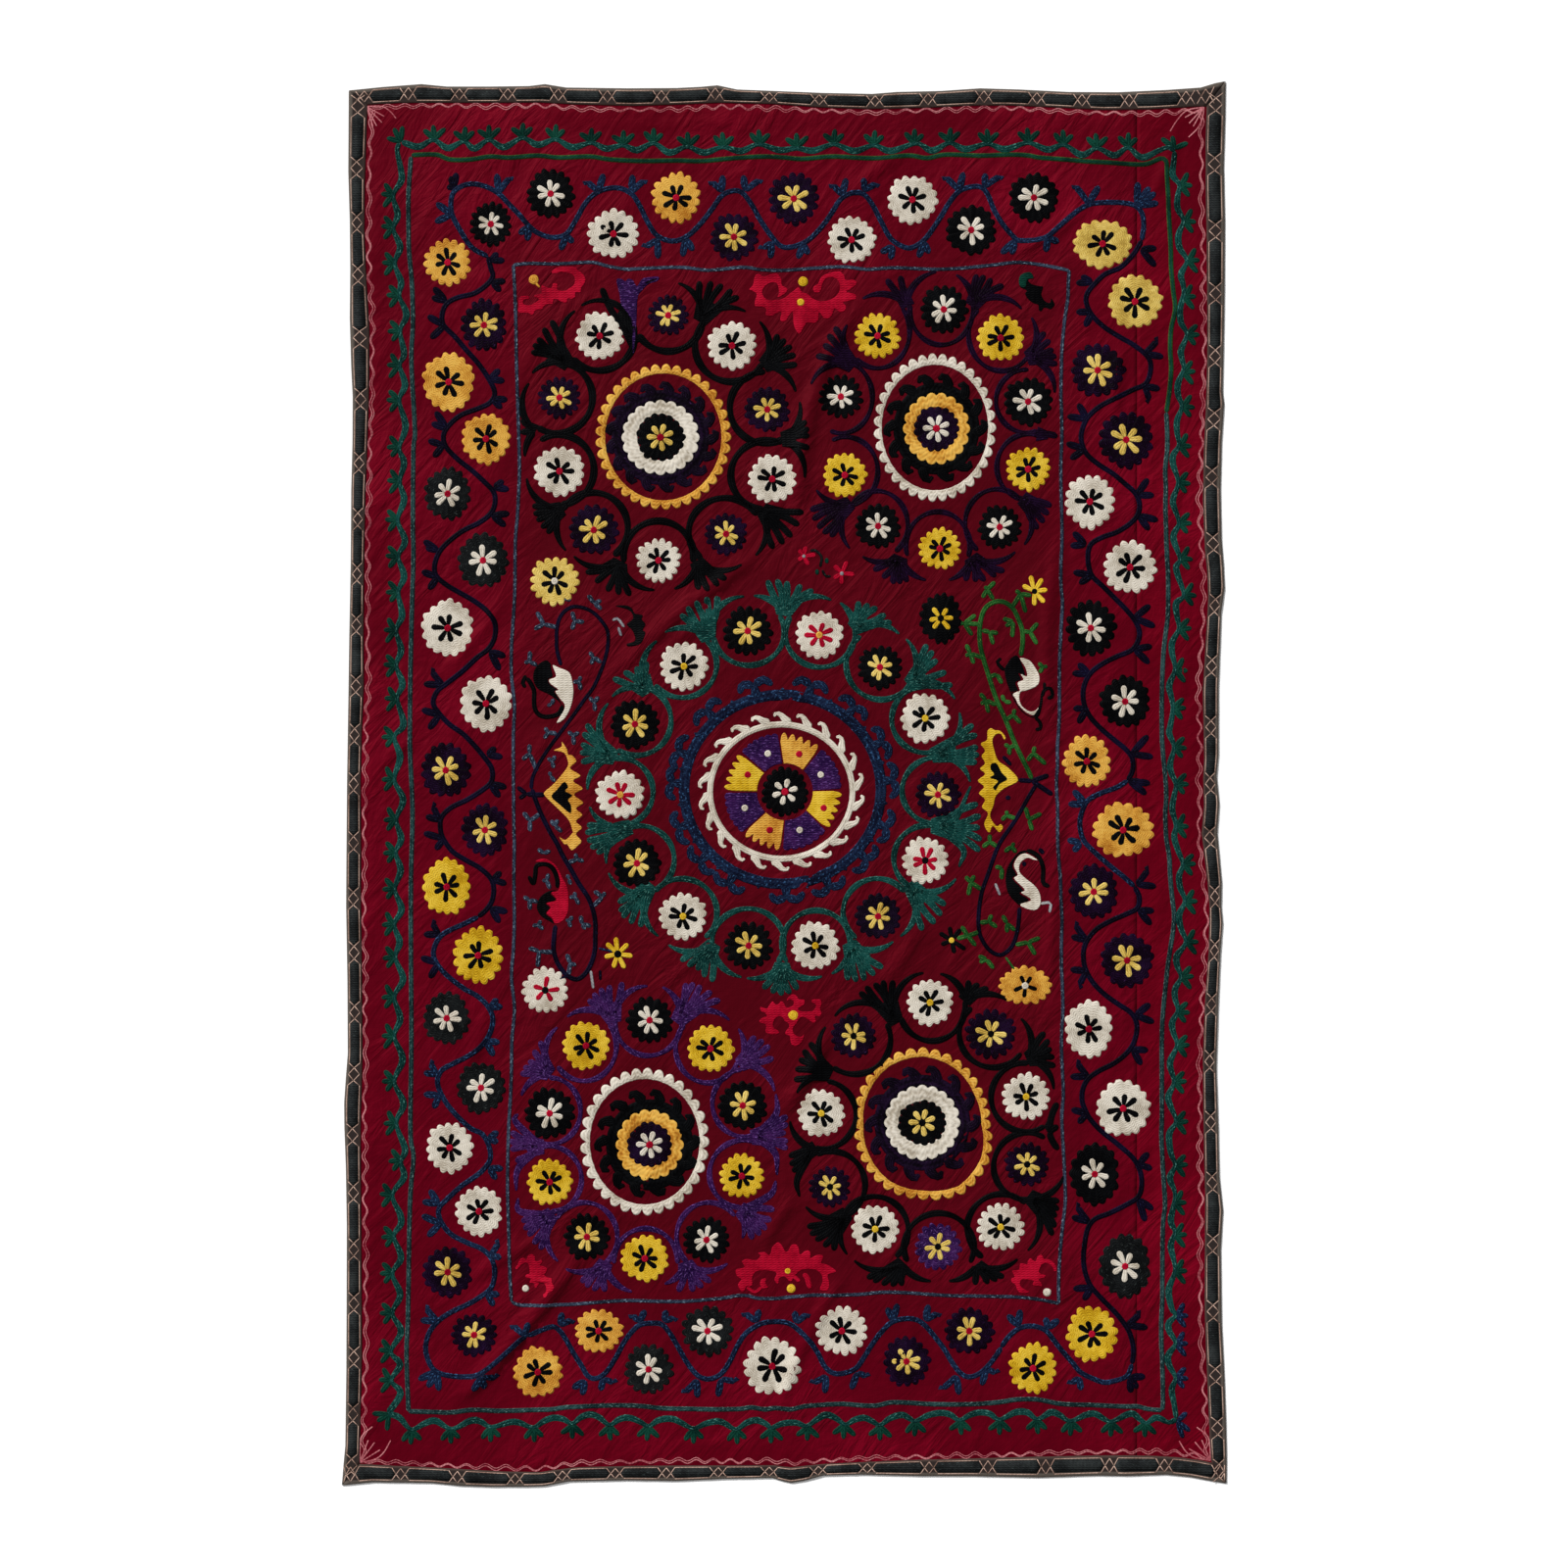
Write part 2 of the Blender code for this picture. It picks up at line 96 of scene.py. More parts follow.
# each fold: where it starts and ends, its bow, its height and its reach to the left and right in mm
FOLDS = [
    (888, 292, 820, 566, -30, 7.0, 26, 20), (792, 556, 612, 700, -6, 6.5, 17, 26),
    (742, 610, 668, 668, 4, 4.0, 16, 20), (524, 588, 444, 704, 5, 5.0, 18, 24),
    (1086, 532, 1076, 772, -14, 5.5, 22, 17), (1084, 806, 1070, 884, 3, 4.0, 16, 20),
    (1080, 896, 1070, 1012, -3, 5.0, 22, 16), (946, 928, 892, 1014, 5, 4.5, 20, 24),
    (848, 1040, 792, 1146, 6, 6.5, 17, 24), (816, 1214, 776, 1284, -4, 5.0, 18, 22),
    (606, 1256, 452, 1446, 8, 9.0, 20, 28), (560, 1260, 470, 1316, -5, 5.0, 18, 22),
    (876, 1282, 788, 1462, -10, 5.0, 16, 20), (1108, 1368, 1214, 1478, 6, 8.0, 24, 18),
    (1114, 200, 1032, 264, 5, 4.5, 18, 22), (934, 150, 852, 212, -4, 4.0, 16, 22),
    (1150, 344, 1138, 432, -6, 4.5, 18, 16), (1204, 462, 1182, 566, 4, 4.5, 18, 20),
    (378, 790, 428, 752, 3, 3.5, 16, 18), (500, 1026, 474, 1092, 3, 4.5, 16, 18),
    (606, 128, 782, 126, 3, 3.0, 14, 16), (1184, 1150, 1200, 1252, -5, 4.5, 18, 16),
    (668, 1482, 758, 1472, 2, 3.5, 14, 16), (1200, 126, 1172, 208, 4, 4.0, 18, 16),
]
# the small creases between the folds, too slight for the solids, in the same form
CREASES = [
    (742, 262, 700, 300, 3, 1.2, 9, 12), (900, 470, 850, 640, -8, 1.6, 10, 14),
    (836, 700, 742, 760, -4, 1.3, 9, 13), (700, 770, 610, 850, 4, 1.4, 9, 13),
    (560, 330, 520, 420, -3, 1.3, 8, 12), (450, 170, 420, 260, 3, 1.2, 9, 12),
    (1010, 640, 966, 720, 4, 1.5, 10, 13), (1060, 420, 1052, 520, -4, 1.3, 9, 12),
    (860, 830, 800, 930, 5, 1.4, 9, 13), (740, 950, 660, 1040, -5, 1.5, 9, 14),
    (596, 900, 540, 990, 4, 1.2, 9, 12), (1010, 930, 960, 1010, -4, 1.4, 9, 13),
    (700, 1130, 640, 1230, 5, 1.5, 10, 14), (1010, 1130, 940, 1230, -5, 1.4, 9, 13),
    (560, 1040, 520, 1130, 3, 1.2, 8, 12), (940, 1330, 900, 1420, 3, 1.4, 9, 12),
    (700, 1340, 650, 1420, -3, 1.4, 9, 12), (1170, 760, 1160, 880, -3, 1.3, 9, 11),
    (1210, 620, 1200, 740, 3, 1.3, 8, 11), (440, 560, 400, 640, 3, 1.2, 8, 11),
    (430, 880, 396, 960, -3, 1.2, 8, 11), (1190, 960, 1176, 1070, 3, 1.4, 9, 11),
    (660, 180, 600, 250, 4, 1.3, 9, 12), (1000, 160, 950, 220, 3, 1.2, 8, 11),
    (1120, 1250, 1060, 1340, -4, 1.4, 9, 12), (1040, 180, 990, 260, 3, 1.2, 9, 12),
]


def side_rows(table, first, last, across):
    """One side as arrays: the place along it, the outline, the band's inner line and that line's place."""
    i = 1 if across else 0
    a, b = CORNERS[first], CORNERS[last]
    rows = np.array([(a[i], a[1 - i], a[3 - i])] + table + [(b[i], b[1 - i], b[3 - i])])
    along, outline, inner = rows.T
    inner_along = np.interp(along, (a[i], b[i]), (a[2 + i], b[2 + i]))
    between = (along > a[2 + i] + 1) & (along < b[2 + i] - 1)
    own_along = np.concatenate([[a[2 + i]], along[between], [b[2 + i]]])
    own_inner = np.concatenate([[inner[0]], inner[between], [inner[-1]]])
    return along, outline, np.interp(inner_along, own_along, own_inner), inner_along


SIDES = {
    "top": side_rows(TOP_EDGE, "TL", "TR", False), "bottom": side_rows(BOTTOM_EDGE, "BL", "BR", False),
    "left": side_rows(LEFT_EDGE, "TL", "BL", True), "right": side_rows(RIGHT_EDGE, "TR", "BR", True),
}


def outline_at(side, along):
    """The outline's place across, at a place along the named side."""
    return np.interp(along, SIDES[side][0], SIDES[side][1])


def from_outline(x, y):
    """How far a point is in from the nearest side, in metres."""
    near = np.minimum(np.minimum(y - outline_at("top", x), outline_at("bottom", x) - y),
                      np.minimum(x - outline_at("left", y), outline_at("right", y) - x))
    return near * CHART_UNIT


def smooth_step(t):
    """Zero before 0, one past 1, and t squared times (3 - 2t) between."""
    t = np.clip(t, 0, 1)
    return t * t * (3 - 2 * t)


def fold_height(x, y, fold):
    """A soft ridge: a raised cosine across its bowed line, easing to nothing over each end."""
    x0, y0, x1, y1, bow, height, left, right = fold
    length = np.hypot(x1 - x0, y1 - y0)
    dx, dy = (x1 - x0) / length, (y1 - y0) / length
    t = ((x - x0) * dx + (y - y0) * dy) / length
    off = (x - x0) * dy - (y - y0) * dx - bow * 4 * t * (1 - t)
    side = off * CHART_UNIT / (np.where(off > 0, left, right) * MM)
    ridge = 0.5 + 0.5 * np.cos(np.pi * np.clip(side, -1, 1))
    ends = smooth_step(t / FOLD_END) * smooth_step((1 - t) / FOLD_END)
    return height * MM * ridge * ends


def cloth_height(x, y):
    """The underside of the cloth: lifted where the band wraps it, then flat with the folds on it."""
    near = from_outline(x, y)
    inside = smooth_step((near - LIFT_START) / (LIFT_END - LIFT_START))
    folds = sum(fold_height(x, y, fold) for fold in FOLDS)
    return CLOTH_LIFT * (1 - inside) + folds * smooth_step((near - FOLD_FADE) / FOLD_FADE)


def crumple(x, y):
    """What the cloth adds on top: the small creases 1.4 times over, and slow waves, three sines added up,
    that rise from nothing to 1.2 mm. Both ease in from 25 to 45 mm inside the outline."""
    near = from_outline(x, y)
    waves = (np.sin((x * 0.9 + y * 0.42) / 31) + np.sin((x * 0.35 - y * 0.8) / 23 + 1.3)
             + 0.7 * np.sin((x + y * 0.25) / 13 + 0.6 * np.sin(y / 40)))
    small = sum(fold_height(x, y, crease) for crease in CREASES)
    shape = CREASE_LIFT * small + CRUMPLE_WAVE * (waves + 2.7)
    return shape * smooth_step((near - CRUMPLE_START) / CRUMPLE_FADE)


def metres(x, y, z):
    """Chart places and a height in metres, as one array of points."""
    x, y, z = np.broadcast_arrays(x, y, z)
    return np.stack([(x - CHART_X) * CHART_UNIT, (CHART_Y - y) * CHART_UNIT, z], axis=-1)


# ------------------------------------------------------------------ making meshes
def make_piece(name, points, faces, rows):
    """A smooth mesh from points in metres and lists of triangles and quads. It gets a flat map seen from
    above, for the baked finish, and a map called rows: mm along and across the rows of stitches."""
    faces = [f for f in faces if len(f)]
    mesh = bpy.data.meshes.new(name)
    loops = np.concatenate([f.ravel() for f in faces]).astype(np.int32)
    sizes = np.concatenate([np.full(len(f), f.shape[1]) for f in faces])
    mesh.vertices.add(len(points))
    mesh.vertices.foreach_set("co", np.asarray(points, dtype=np.float32).ravel())
    mesh.loops.add(len(loops))
    mesh.loops.foreach_set("vertex_index", loops)
    mesh.polygons.add(len(sizes))
    starts = np.concatenate([[0], np.cumsum(sizes)[:-1]]).astype(np.int32)
    mesh.polygons.foreach_set("loop_start", starts)
    mesh.polygons.foreach_set("use_smooth", np.ones(len(sizes), dtype=bool))
    mesh.update(calc_edges=True)
    low, high = points.min(axis=0), points.max(axis=0)
    flat = (points[:, :2] - low[:2]) / (high[:2] - low[:2]).max() * 0.98 + 0.01
    mesh.uv_layers.new(name="OFBake").data.foreach_set("uv", flat[loops].astype(np.float32).ravel())
    mesh.uv_layers.new(name="rows").data.foreach_set("uv", rows[loops].astype(np.float32).ravel())
    mesh.validate()
    piece = bpy.data.objects.new(name, mesh)
    bpy.context.scene.collection.objects.link(piece)
    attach(piece, "root")
    return piece


def grid_faces(rows, columns, turn=False):
    """Quads over a grid of points stored row by row; turn reverses which way they face."""
    i = np.arange((rows - 1) * columns).reshape(rows - 1, columns)[:, :-1]
    quads = np.stack([i, i + 1, i + columns + 1, i + columns], axis=-1).reshape(-1, 4)
    return quads[:, ::-1] if turn else quads


def tube_faces(rows, columns, closed=False, turn=False):
    """Quads over a grid of points whose rows each close on themselves. Closed joins the last row to the
    first, and turn reverses which way they face."""
    index = np.arange(rows * columns).reshape(rows, columns)
    index = np.concatenate([index, index[:, :1]], axis=1)
    if closed:
        index = np.concatenate([index, index[:1]])
    corners = [index[:-1, :-1], index[1:, :-1], index[1:, 1:], index[:-1, 1:]]
    order = (0, 3, 2, 1) if turn else (0, 1, 2, 3)
    return np.stack([corners[i] for i in order], axis=-1).reshape(-1, 4)


def ring_walls(low, high):
    """Quads between two rings of point numbers."""
    return np.stack([low, np.roll(low, -1), np.roll(high, -1), high], axis=-1)


def stitch_rows(along, across):
    """The rows map of a grid: mm along and mm across at every point."""
    return np.stack(np.broadcast_arrays(along, across), axis=-1).reshape(-1, 2)


class Sewing:
    """Threads of one colour gathered into one piece."""

    def __init__(self, name):
        """Starts an empty piece."""
        self.name, self.points, self.faces, self.rows, self.count = name, [], [], [], 0

    def add(self, points, faces, rows):
        """Adds one closed shape: its points in metres, its faces and its rows map."""
        self.points.append(points)
        self.rows.append(rows)
        self.faces += [f + self.count for f in faces]
        self.count += len(points)

    def make(self, finish, slot="crimson_satin"):
        """Makes the piece with its finish; the slot is not used."""
        piece = make_piece(self.name, np.concatenate(self.points), self.faces, np.concatenate(self.rows))
        piece.data.materials.append(finish)
        return piece


# ------------------------------------------------------------------ finishes
def colour(code):
    """An sRGB hex colour as linear red, green, blue and alpha."""
    rgb = np.array([int(code[i:i + 2], 16) for i in (1, 3, 5)]) / 255
    linear = np.where(rgb > 0.04045, ((rgb + 0.055) / 1.055) ** 2.4, rgb / 12.92)
    return (*linear.tolist(), 1.0)


def add_node(material, kind, inputs=None, ramp=None, **settings):
    """Adds one node with its settings; inputs are numbers or another node's output."""
    tree = material.node_tree
    node = tree.nodes.new("ShaderNode" + kind)
    for key, value in settings.items():
        setattr(node, key, value)
    for key, value in (inputs or {}).items():
        if isinstance(value, bpy.types.NodeSocket):
            tree.links.new(value, node.inputs[key])
        else:
            node.inputs[key].default_value = value
    if ramp:
        elements = node.color_ramp.elements
        elements[0].position, elements[0].color = ramp[0][0], colour(ramp[0][1])
        elements[1].position, elements[1].color = ramp[-1][0], colour(ramp[-1][1])
        for place, code in ramp[1:-1]:
            elements.new(place).color = colour(code)
    return node


def maths(material, operation, *values):
    """A maths node on numbers or other nodes' outputs, and its result."""
    return add_node(material, "Math", dict(enumerate(values)), operation=operation).outputs[0]


def noise(material, vector, scale, detail, **more):
    """A soft noise node's value at a place."""
    more = {key.capitalize(): value for key, value in more.items()}
    return add_node(material, "TexNoise", {"Vector": vector, "Scale": scale, "Detail": detail, **more}
                    ).outputs["Fac"]


def stretched(material, vector, scale):
    """A place with each of its axes multiplied."""
    return add_node(material, "Mapping", {"Vector": vector, "Scale": scale}).outputs["Vector"]


def spread(material, value, low, high, to_low=0.0, to_high=1.0):
    """A value brought from one range into another, and held at its ends."""
    return add_node(material, "MapRange", {"Value": value, "From Min": low, "From Max": high,
                                           "To Min": to_low, "To Max": to_high}).outputs["Result"]


def tint_between(material, share, first, second):
    """A colour, first where the share is nothing and second where it is all. A mixing node keeps its two
    colours in inputs 6 and 7, and gives the result in output 2."""
    mix = add_node(material, "Mix", {"Factor": share}, data_type="RGBA")
    material.node_tree.links.new(first, mix.inputs[6])
    mix.inputs[7].default_value = colour(second)
    return mix.outputs[2]


def bumps(material, height, strength, distance):
    """The direction a surface faces when a height is laid on it."""
    return add_node(material, "Bump", {"Height": height, "Strength": strength, "Distance": distance}
                    ).outputs["Normal"]


def new_finish(name):
    """An empty material with its output and main shader, and the shader."""
    material = bpy.data.materials.new(name)
    material.use_nodes = True
    return material, material.node_tree.nodes["Principled BSDF"]


def set_shader(material, shader, **inputs):
    """Sets the main shader's inputs, named with _ for a space, to numbers or other nodes' outputs."""
    for key, value in inputs.items():
        socket = shader.inputs[key.replace("_", " ")]
        if isinstance(value, bpy.types.NodeSocket):
            material.node_tree.links.new(value, socket)
        else:
            socket.default_value = value


FIELD_X, FIELD_HALF = 0.01, (0.47, 0.89)


def satin(name, dark, middle, light, field):
    """Handwoven cotton satin, dyed crimson: fine rows of weft about 0.6 mm apart with thicker threads
    here and there, a soft shine, and dye that took a little unevenly. The weave is drawn at 4 mm,
    because a real thread is finer than the picture shows. The field inside the blue frame is browner,
    by the larger of the two shares of the way out to that frame. Fine crinkles lie slantwise."""
    material, shader = new_finish(name)
    place = add_node(material, "TexCoord").outputs["Object"]
    patches = noise(material, place, 3.2, 5.0, roughness=0.6)
    slubs = noise(material, stretched(material, place, (40.0, 420.0, 1.0)), 1.0, 3.0)
    warp = noise(material, stretched(material, place, (520.0, 30.0, 1.0)), 1.0, 2.0)
    weave = maths(material, "ADD", slubs, warp)
    tone = maths(material, "ADD", patches, maths(material, "MULTIPLY_ADD", weave, 0.14, 0.08))
    dye = add_node(material, "ValToRGB", {"Fac": tone}, ramp=[(0.50, dark), (0.72, middle), (0.95, light)])
    split = add_node(material, "SeparateXYZ", {"Vector": place})
    across = maths(material, "SUBTRACT", split.outputs["X"], FIELD_X)
    across = maths(material, "DIVIDE", maths(material, "ABSOLUTE", across), FIELD_HALF[0])
    down = maths(material, "DIVIDE", maths(material, "ABSOLUTE", split.outputs["Y"]), FIELD_HALF[1])
    faded = spread(material, maths(material, "MAXIMUM", across, down), 0.88, 1.12, 0.62, 0.0)
    ground = tint_between(material, faded, dye.outputs["Color"], field)
    slanted = add_node(material, "Mapping", {"Vector": place, "Rotation": (0, 0, np.radians(50)),
                                             "Scale": (0.15, 0.040, 1.0)}, vector_type="TEXTURE")
    crinkles = noise(material, slanted.outputs["Vector"], 1.0, 5.0, roughness=0.55, distortion=1.7)
    crinkles = maths(material, "MULTIPLY", crinkles, spread(material, patches, 0.38, 0.62, 0.15, 1.0))
    normal = bumps(material, maths(material, "MULTIPLY_ADD", weave, 0.02, crinkles), 0.8, 0.012)
    shine = spread(material, patches, 0.0, 1.0, 0.52, 0.66)
    set_shader(material, shader, Base_Color=ground, Roughness=shine, Normal=normal,
               Specular_Tint=colour("#C8102C"), Specular_IOR_Level=0.32)
    return material


ROW_DRAWN, LOOP_DRAWN, RIB_DRAWN = 4.0, 6.0, 2.5


def silk(name, dark, middle, light, fleck=None, fleck_share=0.62):
    """Floss silk in chain stitch: rows of small loops. Painted shade: the colour is made lighter on each
    loop and darker between the rows, besides the bumps. A real row is about 1 mm wide; it is drawn 4 mm
    wide with 6 mm loops, because the real one is finer than the picture shows. Each length of silk was
    dyed by hand, so the colour drifts, and the flecks are paler spots, where the ground shows between
    rows or the twist of a second colour, and partly painted highlights of the silk's sheen."""
    material, shader = new_finish(name)
    rows = add_node(material, "UVMap", uv_map="rows").outputs["UV"]
    place = add_node(material, "TexCoord").outputs["Object"]
    split = add_node(material, "SeparateXYZ", {"Vector": rows})
    across = maths(material, "MULTIPLY", split.outputs["Y"], 2 * np.pi / ROW_DRAWN)
    ridge = maths(material, "COSINE", across)
    along = maths(material, "MULTIPLY_ADD", split.outputs["X"], 2 * np.pi / LOOP_DRAWN, across)
    loops = maths(material, "SINE", along)
    drift = noise(material, place, 22.0, 3.0, roughness=0.6)
    grain = noise(material, place, 260.0, 2.0, roughness=0.7)
    stitch = maths(material, "MULTIPLY_ADD", loops, 0.6, ridge)
    # painted shade: the stitch relief also lightens the colour on each loop and darkens it between the rows
    shade = maths(material, "MULTIPLY_ADD", stitch, 0.085, drift)
    shade = maths(material, "MULTIPLY_ADD", grain, 0.45, shade)
    dye = add_node(material, "ValToRGB", {"Fac": shade}, ramp=[(0.52, dark), (0.70, middle), (0.90, light)])
    tint = dye.outputs["Color"]
    # the flecks: paler spots of a second colour, partly the silk's own and partly painted highlights of its
    # sheen
    if fleck:
        spots = noise(material, stretched(material, rows, (0.16, 0.42, 1.0)), 1.0, 2.0, roughness=0.7)
        share = spread(material, spots, fleck_share - 0.04, fleck_share + 0.05)
        tint = tint_between(material, share, tint, fleck)
    set_shader(material, shader, Base_Color=tint, Roughness=spread(material, grain, 0.0, 1.0, 0.42, 0.62),
               Normal=bumps(material, stitch, 0.35, 0.0006), Specular_IOR_Level=0.025)
    return material


def band_weave(name, outer, middle, inner):
    """Tablet-woven silk and cotton braid, sewn over the raw edge: fine ribs about 0.7 mm apart along it,
    drawn at 2.5 mm so that they show, darker in the middle and paler along its outer edge."""
    material, shader = new_finish(name)
    rows = add_node(material, "UVMap", uv_map="rows").outputs["UV"]
    split = add_node(material, "SeparateXYZ", {"Vector": rows})
    grain = noise(material, stretched(material, rows, (0.12, 0.8, 1.0)), 1.0, 4.0)
    share = spread(material, maths(material, "MULTIPLY_ADD", grain, 3.0, split.outputs["Y"]), 1.0, 34.0)
    dye = add_node(material, "ValToRGB", {"Fac": share},
                   ramp=[(0.0, outer), (0.17, outer), (0.24, middle), (0.78, middle), (0.9, inner)])
    ribs = maths(material, "SINE", maths(material, "MULTIPLY", split.outputs["X"], 2 * np.pi / RIB_DRAWN))
    height = maths(material, "MULTIPLY_ADD", ribs, 0.3, grain)
    set_shader(material, shader, Base_Color=dye.outputs["Color"],
               Roughness=spread(material, grain, 0.0, 1.0, 0.7, 0.9),
               Normal=bumps(material, height, 0.5, 0.001), Specular_IOR_Level=0.12)
    return material


WIDE_SATIN = satin("crimson_cotton_satin", "#46010E", "#540212", "#680419", "#3E060D")
NARROW_SATIN = satin("bright_crimson_cotton_satin", "#49010E", "#580212", "#6C0419", "#580212")

# ------------------------------------------------------------------ the two cloths
ACROSS_WIDE, ACROSS_NARROW, DOWN = 189, 21, 333
COARSE = 3


def strip_sides(y, left_side, right_side):
    """Where a strip begins and ends across the chart: inside the outline, or beside the seam."""
    inset, half = CLOTH_INSET / CHART_UNIT, SEAM_GAP / CHART_UNIT / 2
    return (outline_at("left", y) + inset if left_side else SEAM_X + half,
            outline_at("right", y) - inset if right_side else SEAM_X - half)


def strip_ends(x):
    """Where the cloth begins and ends down the chart, inside the outline."""
    inset = CLOTH_INSET / CHART_UNIT
    return outline_at("top", x) + inset, outline_at("bottom", x) - inset


def strip_point(u, v, left_side, right_side):
    """A point of a strip from shares u across it and v down it. Each side's place depends on the other
    number, so the two are found in turn, four times over, from the middle of the picture."""
    x, y = np.full_like(u, PICTURE_UNITS / 2), np.full_like(u, PICTURE_UNITS / 2)
    for _ in range(4):
        left, right = strip_sides(y, left_side, right_side)
        x = left + (right - left) * u
        top, bottom = strip_ends(x)
        y = top + (bottom - top) * v
    return x, y


def strip_shares(x, y, left_side, right_side):
    """The shares u and v of a chart place on a strip."""
    left, right = strip_sides(y, left_side, right_side)
    top, bottom = strip_ends(x)
    return (x - left) / (right - left), (y - top) / (bottom - top)


def strip_heights(across, left_side, right_side):
    """The grid of a strip's top: chart x and y, and its height in metres."""
    v, u = np.meshgrid(np.linspace(0, 1, DOWN + 1), np.linspace(0, 1, across + 1), indexing="ij")
    x, y = strip_point(u, v, left_side, right_side)
    return x, y, cloth_height(x, y) + CLOTH_THICK + crumple(x, y)


WIDE_TOP = strip_heights(ACROSS_WIDE, True, False)
NARROW_TOP = strip_heights(ACROSS_NARROW, False, True)


def look_up(heights, u, v):
    """The height between four points of a grid, weighed by how near each is."""
    rows, columns = heights.shape
    a = np.clip(u, 0, 1) * (columns - 1)
    b = np.clip(v, 0, 1) * (rows - 1)
    i, j = np.minimum(a.astype(int), columns - 2), np.minimum(b.astype(int), rows - 2)
    a, b = a - i, b - j
    return ((heights[j, i] * (1 - a) + heights[j, i + 1] * a) * (1 - b)
            + (heights[j + 1, i] * (1 - a) + heights[j + 1, i + 1] * a) * b)


def cloth_top(x, y):
    """The top of whichever strip lies under a chart place, in metres."""
    x, y = np.asarray(x, dtype=float), np.asarray(y, dtype=float)
    wide = look_up(WIDE_TOP[2], *strip_shares(x, y, True, False))
    narrow = look_up(NARROW_TOP[2], *strip_shares(x, y, False, True))
    return np.where(x < SEAM_X, wide, narrow)


def cloth_strip(name, top, finish, node):
    """The closed strip: its fine top, a plain underside through every third point, and edges between,
    shaded flat so that the cut edges stay crisp where the strips meet."""
    x, y, z = top
    rows, columns = x.shape
    upper = metres(x, y, z).reshape(-1, 3)
    bx, by = x[::COARSE, ::COARSE], y[::COARSE, ::COARSE]
    low = np.minimum(cloth_height(bx, by), z[::COARSE, ::COARSE] - CLOTH_THICK)
    lower = metres(bx, by, low).reshape(-1, 3)
    low_rows, low_columns = bx.shape
    top_index = np.arange(rows * columns).reshape(rows, columns)
    low_index = np.arange(low_rows * low_columns).reshape(low_rows, low_columns) + rows * columns
    faces = [grid_faces(rows, columns, turn=True), grid_faces(low_rows, low_columns) + rows * columns]
    for line, under, turn in ((top_index[0], low_index[0], False), (top_index[-1], low_index[-1], True),
                              (top_index[:, 0], low_index[:, 0], True),
                              (top_index[:, -1], low_index[:, -1], False)):
        t0, t1, t2, t3 = line[:-1:COARSE], line[1::COARSE], line[2::COARSE], line[COARSE::COARSE]
        b0, b1 = under[:-1], under[1:]
        strip = np.concatenate([np.stack(s, axis=-1) for s in
                                ((b0, t0, t1), (b0, t1, b1), (t1, t2, b1), (t2, t3, b1))])
        faces.append(strip[:, ::-1] if turn else strip)
    points = np.concatenate([upper, lower])
    piece = make_piece(name, points, faces, points[:, :2] / MM)
    broad = len(faces[0]) + len(faces[1])
    piece.data.polygons.foreach_set("use_smooth", np.arange(len(piece.data.polygons)) < broad)
    piece.data.materials.append(finish)
    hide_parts(node)
    return piece


wide_cloth = cloth_strip("crimson_wide_strip", WIDE_TOP, WIDE_SATIN, "wide_cloth")
narrow_cloth = cloth_strip("crimson_narrow_strip", NARROW_TOP, NARROW_SATIN,
                           "narrow_cloth")

# ------------------------------------------------------------------ the binding band
# the band's section, once round: shares of the way in from the outline, and heights from the floor
BAND_OUTSIDE = np.array([(1, BAND_HEIGHT), (0.86, BAND_HEIGHT), (0.5, BAND_HEIGHT), (0.16, BAND_HEIGHT),
                         (0.055, BAND_HEIGHT * 0.97), (0, BAND_HEIGHT / 2), (0.055, 0), (0.62, 0)])
BAND_INSIDE = np.array([(0.62, BAND_THICK), (0.075, BAND_THICK), (0.045, BAND_HEIGHT / 2),
                        (0.075, BAND_HEIGHT - BAND_THICK), (1, BAND_HEIGHT - BAND_THICK)])
BAND_SECTION = np.concatenate([BAND_OUTSIDE, BAND_INSIDE])
MITRE_EASE, BAND_STEP, BAND_WIDE_MM = 0.25 * MM, 5, 30.0


def band_place(side, along, share):
    """A chart place on the band: a share of the way in from the outline to its inner line."""
    rows, outline, inner, inner_along = SIDES[side]
    in_along = np.interp(along, rows, inner_along)
    out, inside = np.interp(along, rows, outline), np.interp(along, rows, inner)
    a, o = along + (in_along - along) * share, out + (inside - out) * share
    return (o, a) if side in ("left", "right") else (a, o)


def band_piece(side, finish):
    """The folded band: its U section carried along the side every 5 units, closed at both ends."""
    rows = SIDES[side][0]
    ease = MITRE_EASE / CHART_UNIT
    steps = int((rows[-1] - rows[0]) / BAND_STEP)
    along = np.unique(np.concatenate([np.linspace(rows[0] + ease, rows[-1] - ease, steps), rows[1:-1]]))
    share, height = BAND_SECTION.T
    x, y = band_place(side, along[:, None], share[None, :])
    ripple = 0.15 * MM * np.sin(along / 4.3) * np.sin(along / 17)
    z = height[None, :] + (ripple[:, None] * (height[None, :] > BAND_HEIGHT * 0.9))
    n, m = len(along), len(share)
    points = metres(x, y, z).reshape(-1, 3)
    mm_rows = stitch_rows(along[:, None] * CHART_UNIT / MM, share[None, :] * BAND_WIDE_MM)
    section = np.stack([share, height / BAND_HEIGHT], axis=-1)
    caps = np.array(tessellate_polygon([[Vector((a, b, 0)) for a, b in section.tolist()]]))
    faces = [tube_faces(n, m, turn=True), caps, caps[:, ::-1] + (n - 1) * m]
    piece = make_piece(side + "_binding", points, faces, mm_rows)
    turn_outward(piece)
    piece.data.materials.append(finish)
    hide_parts(side + "_band")
    return piece


def turn_outward(piece):
    """Turns every face of a closed piece to point out of it."""
    solid = bmesh.new()
    solid.from_mesh(piece.data)
    bmesh.ops.recalc_face_normals(solid, faces=solid.faces)
    solid.to_mesh(piece.data)
    solid.free()


BRAID = band_weave("charcoal_braid", "#544C45", "#2A2220", "#443630")
bindings = {side: band_piece(side, BRAID) for side in ("top", "bottom", "left", "right")}


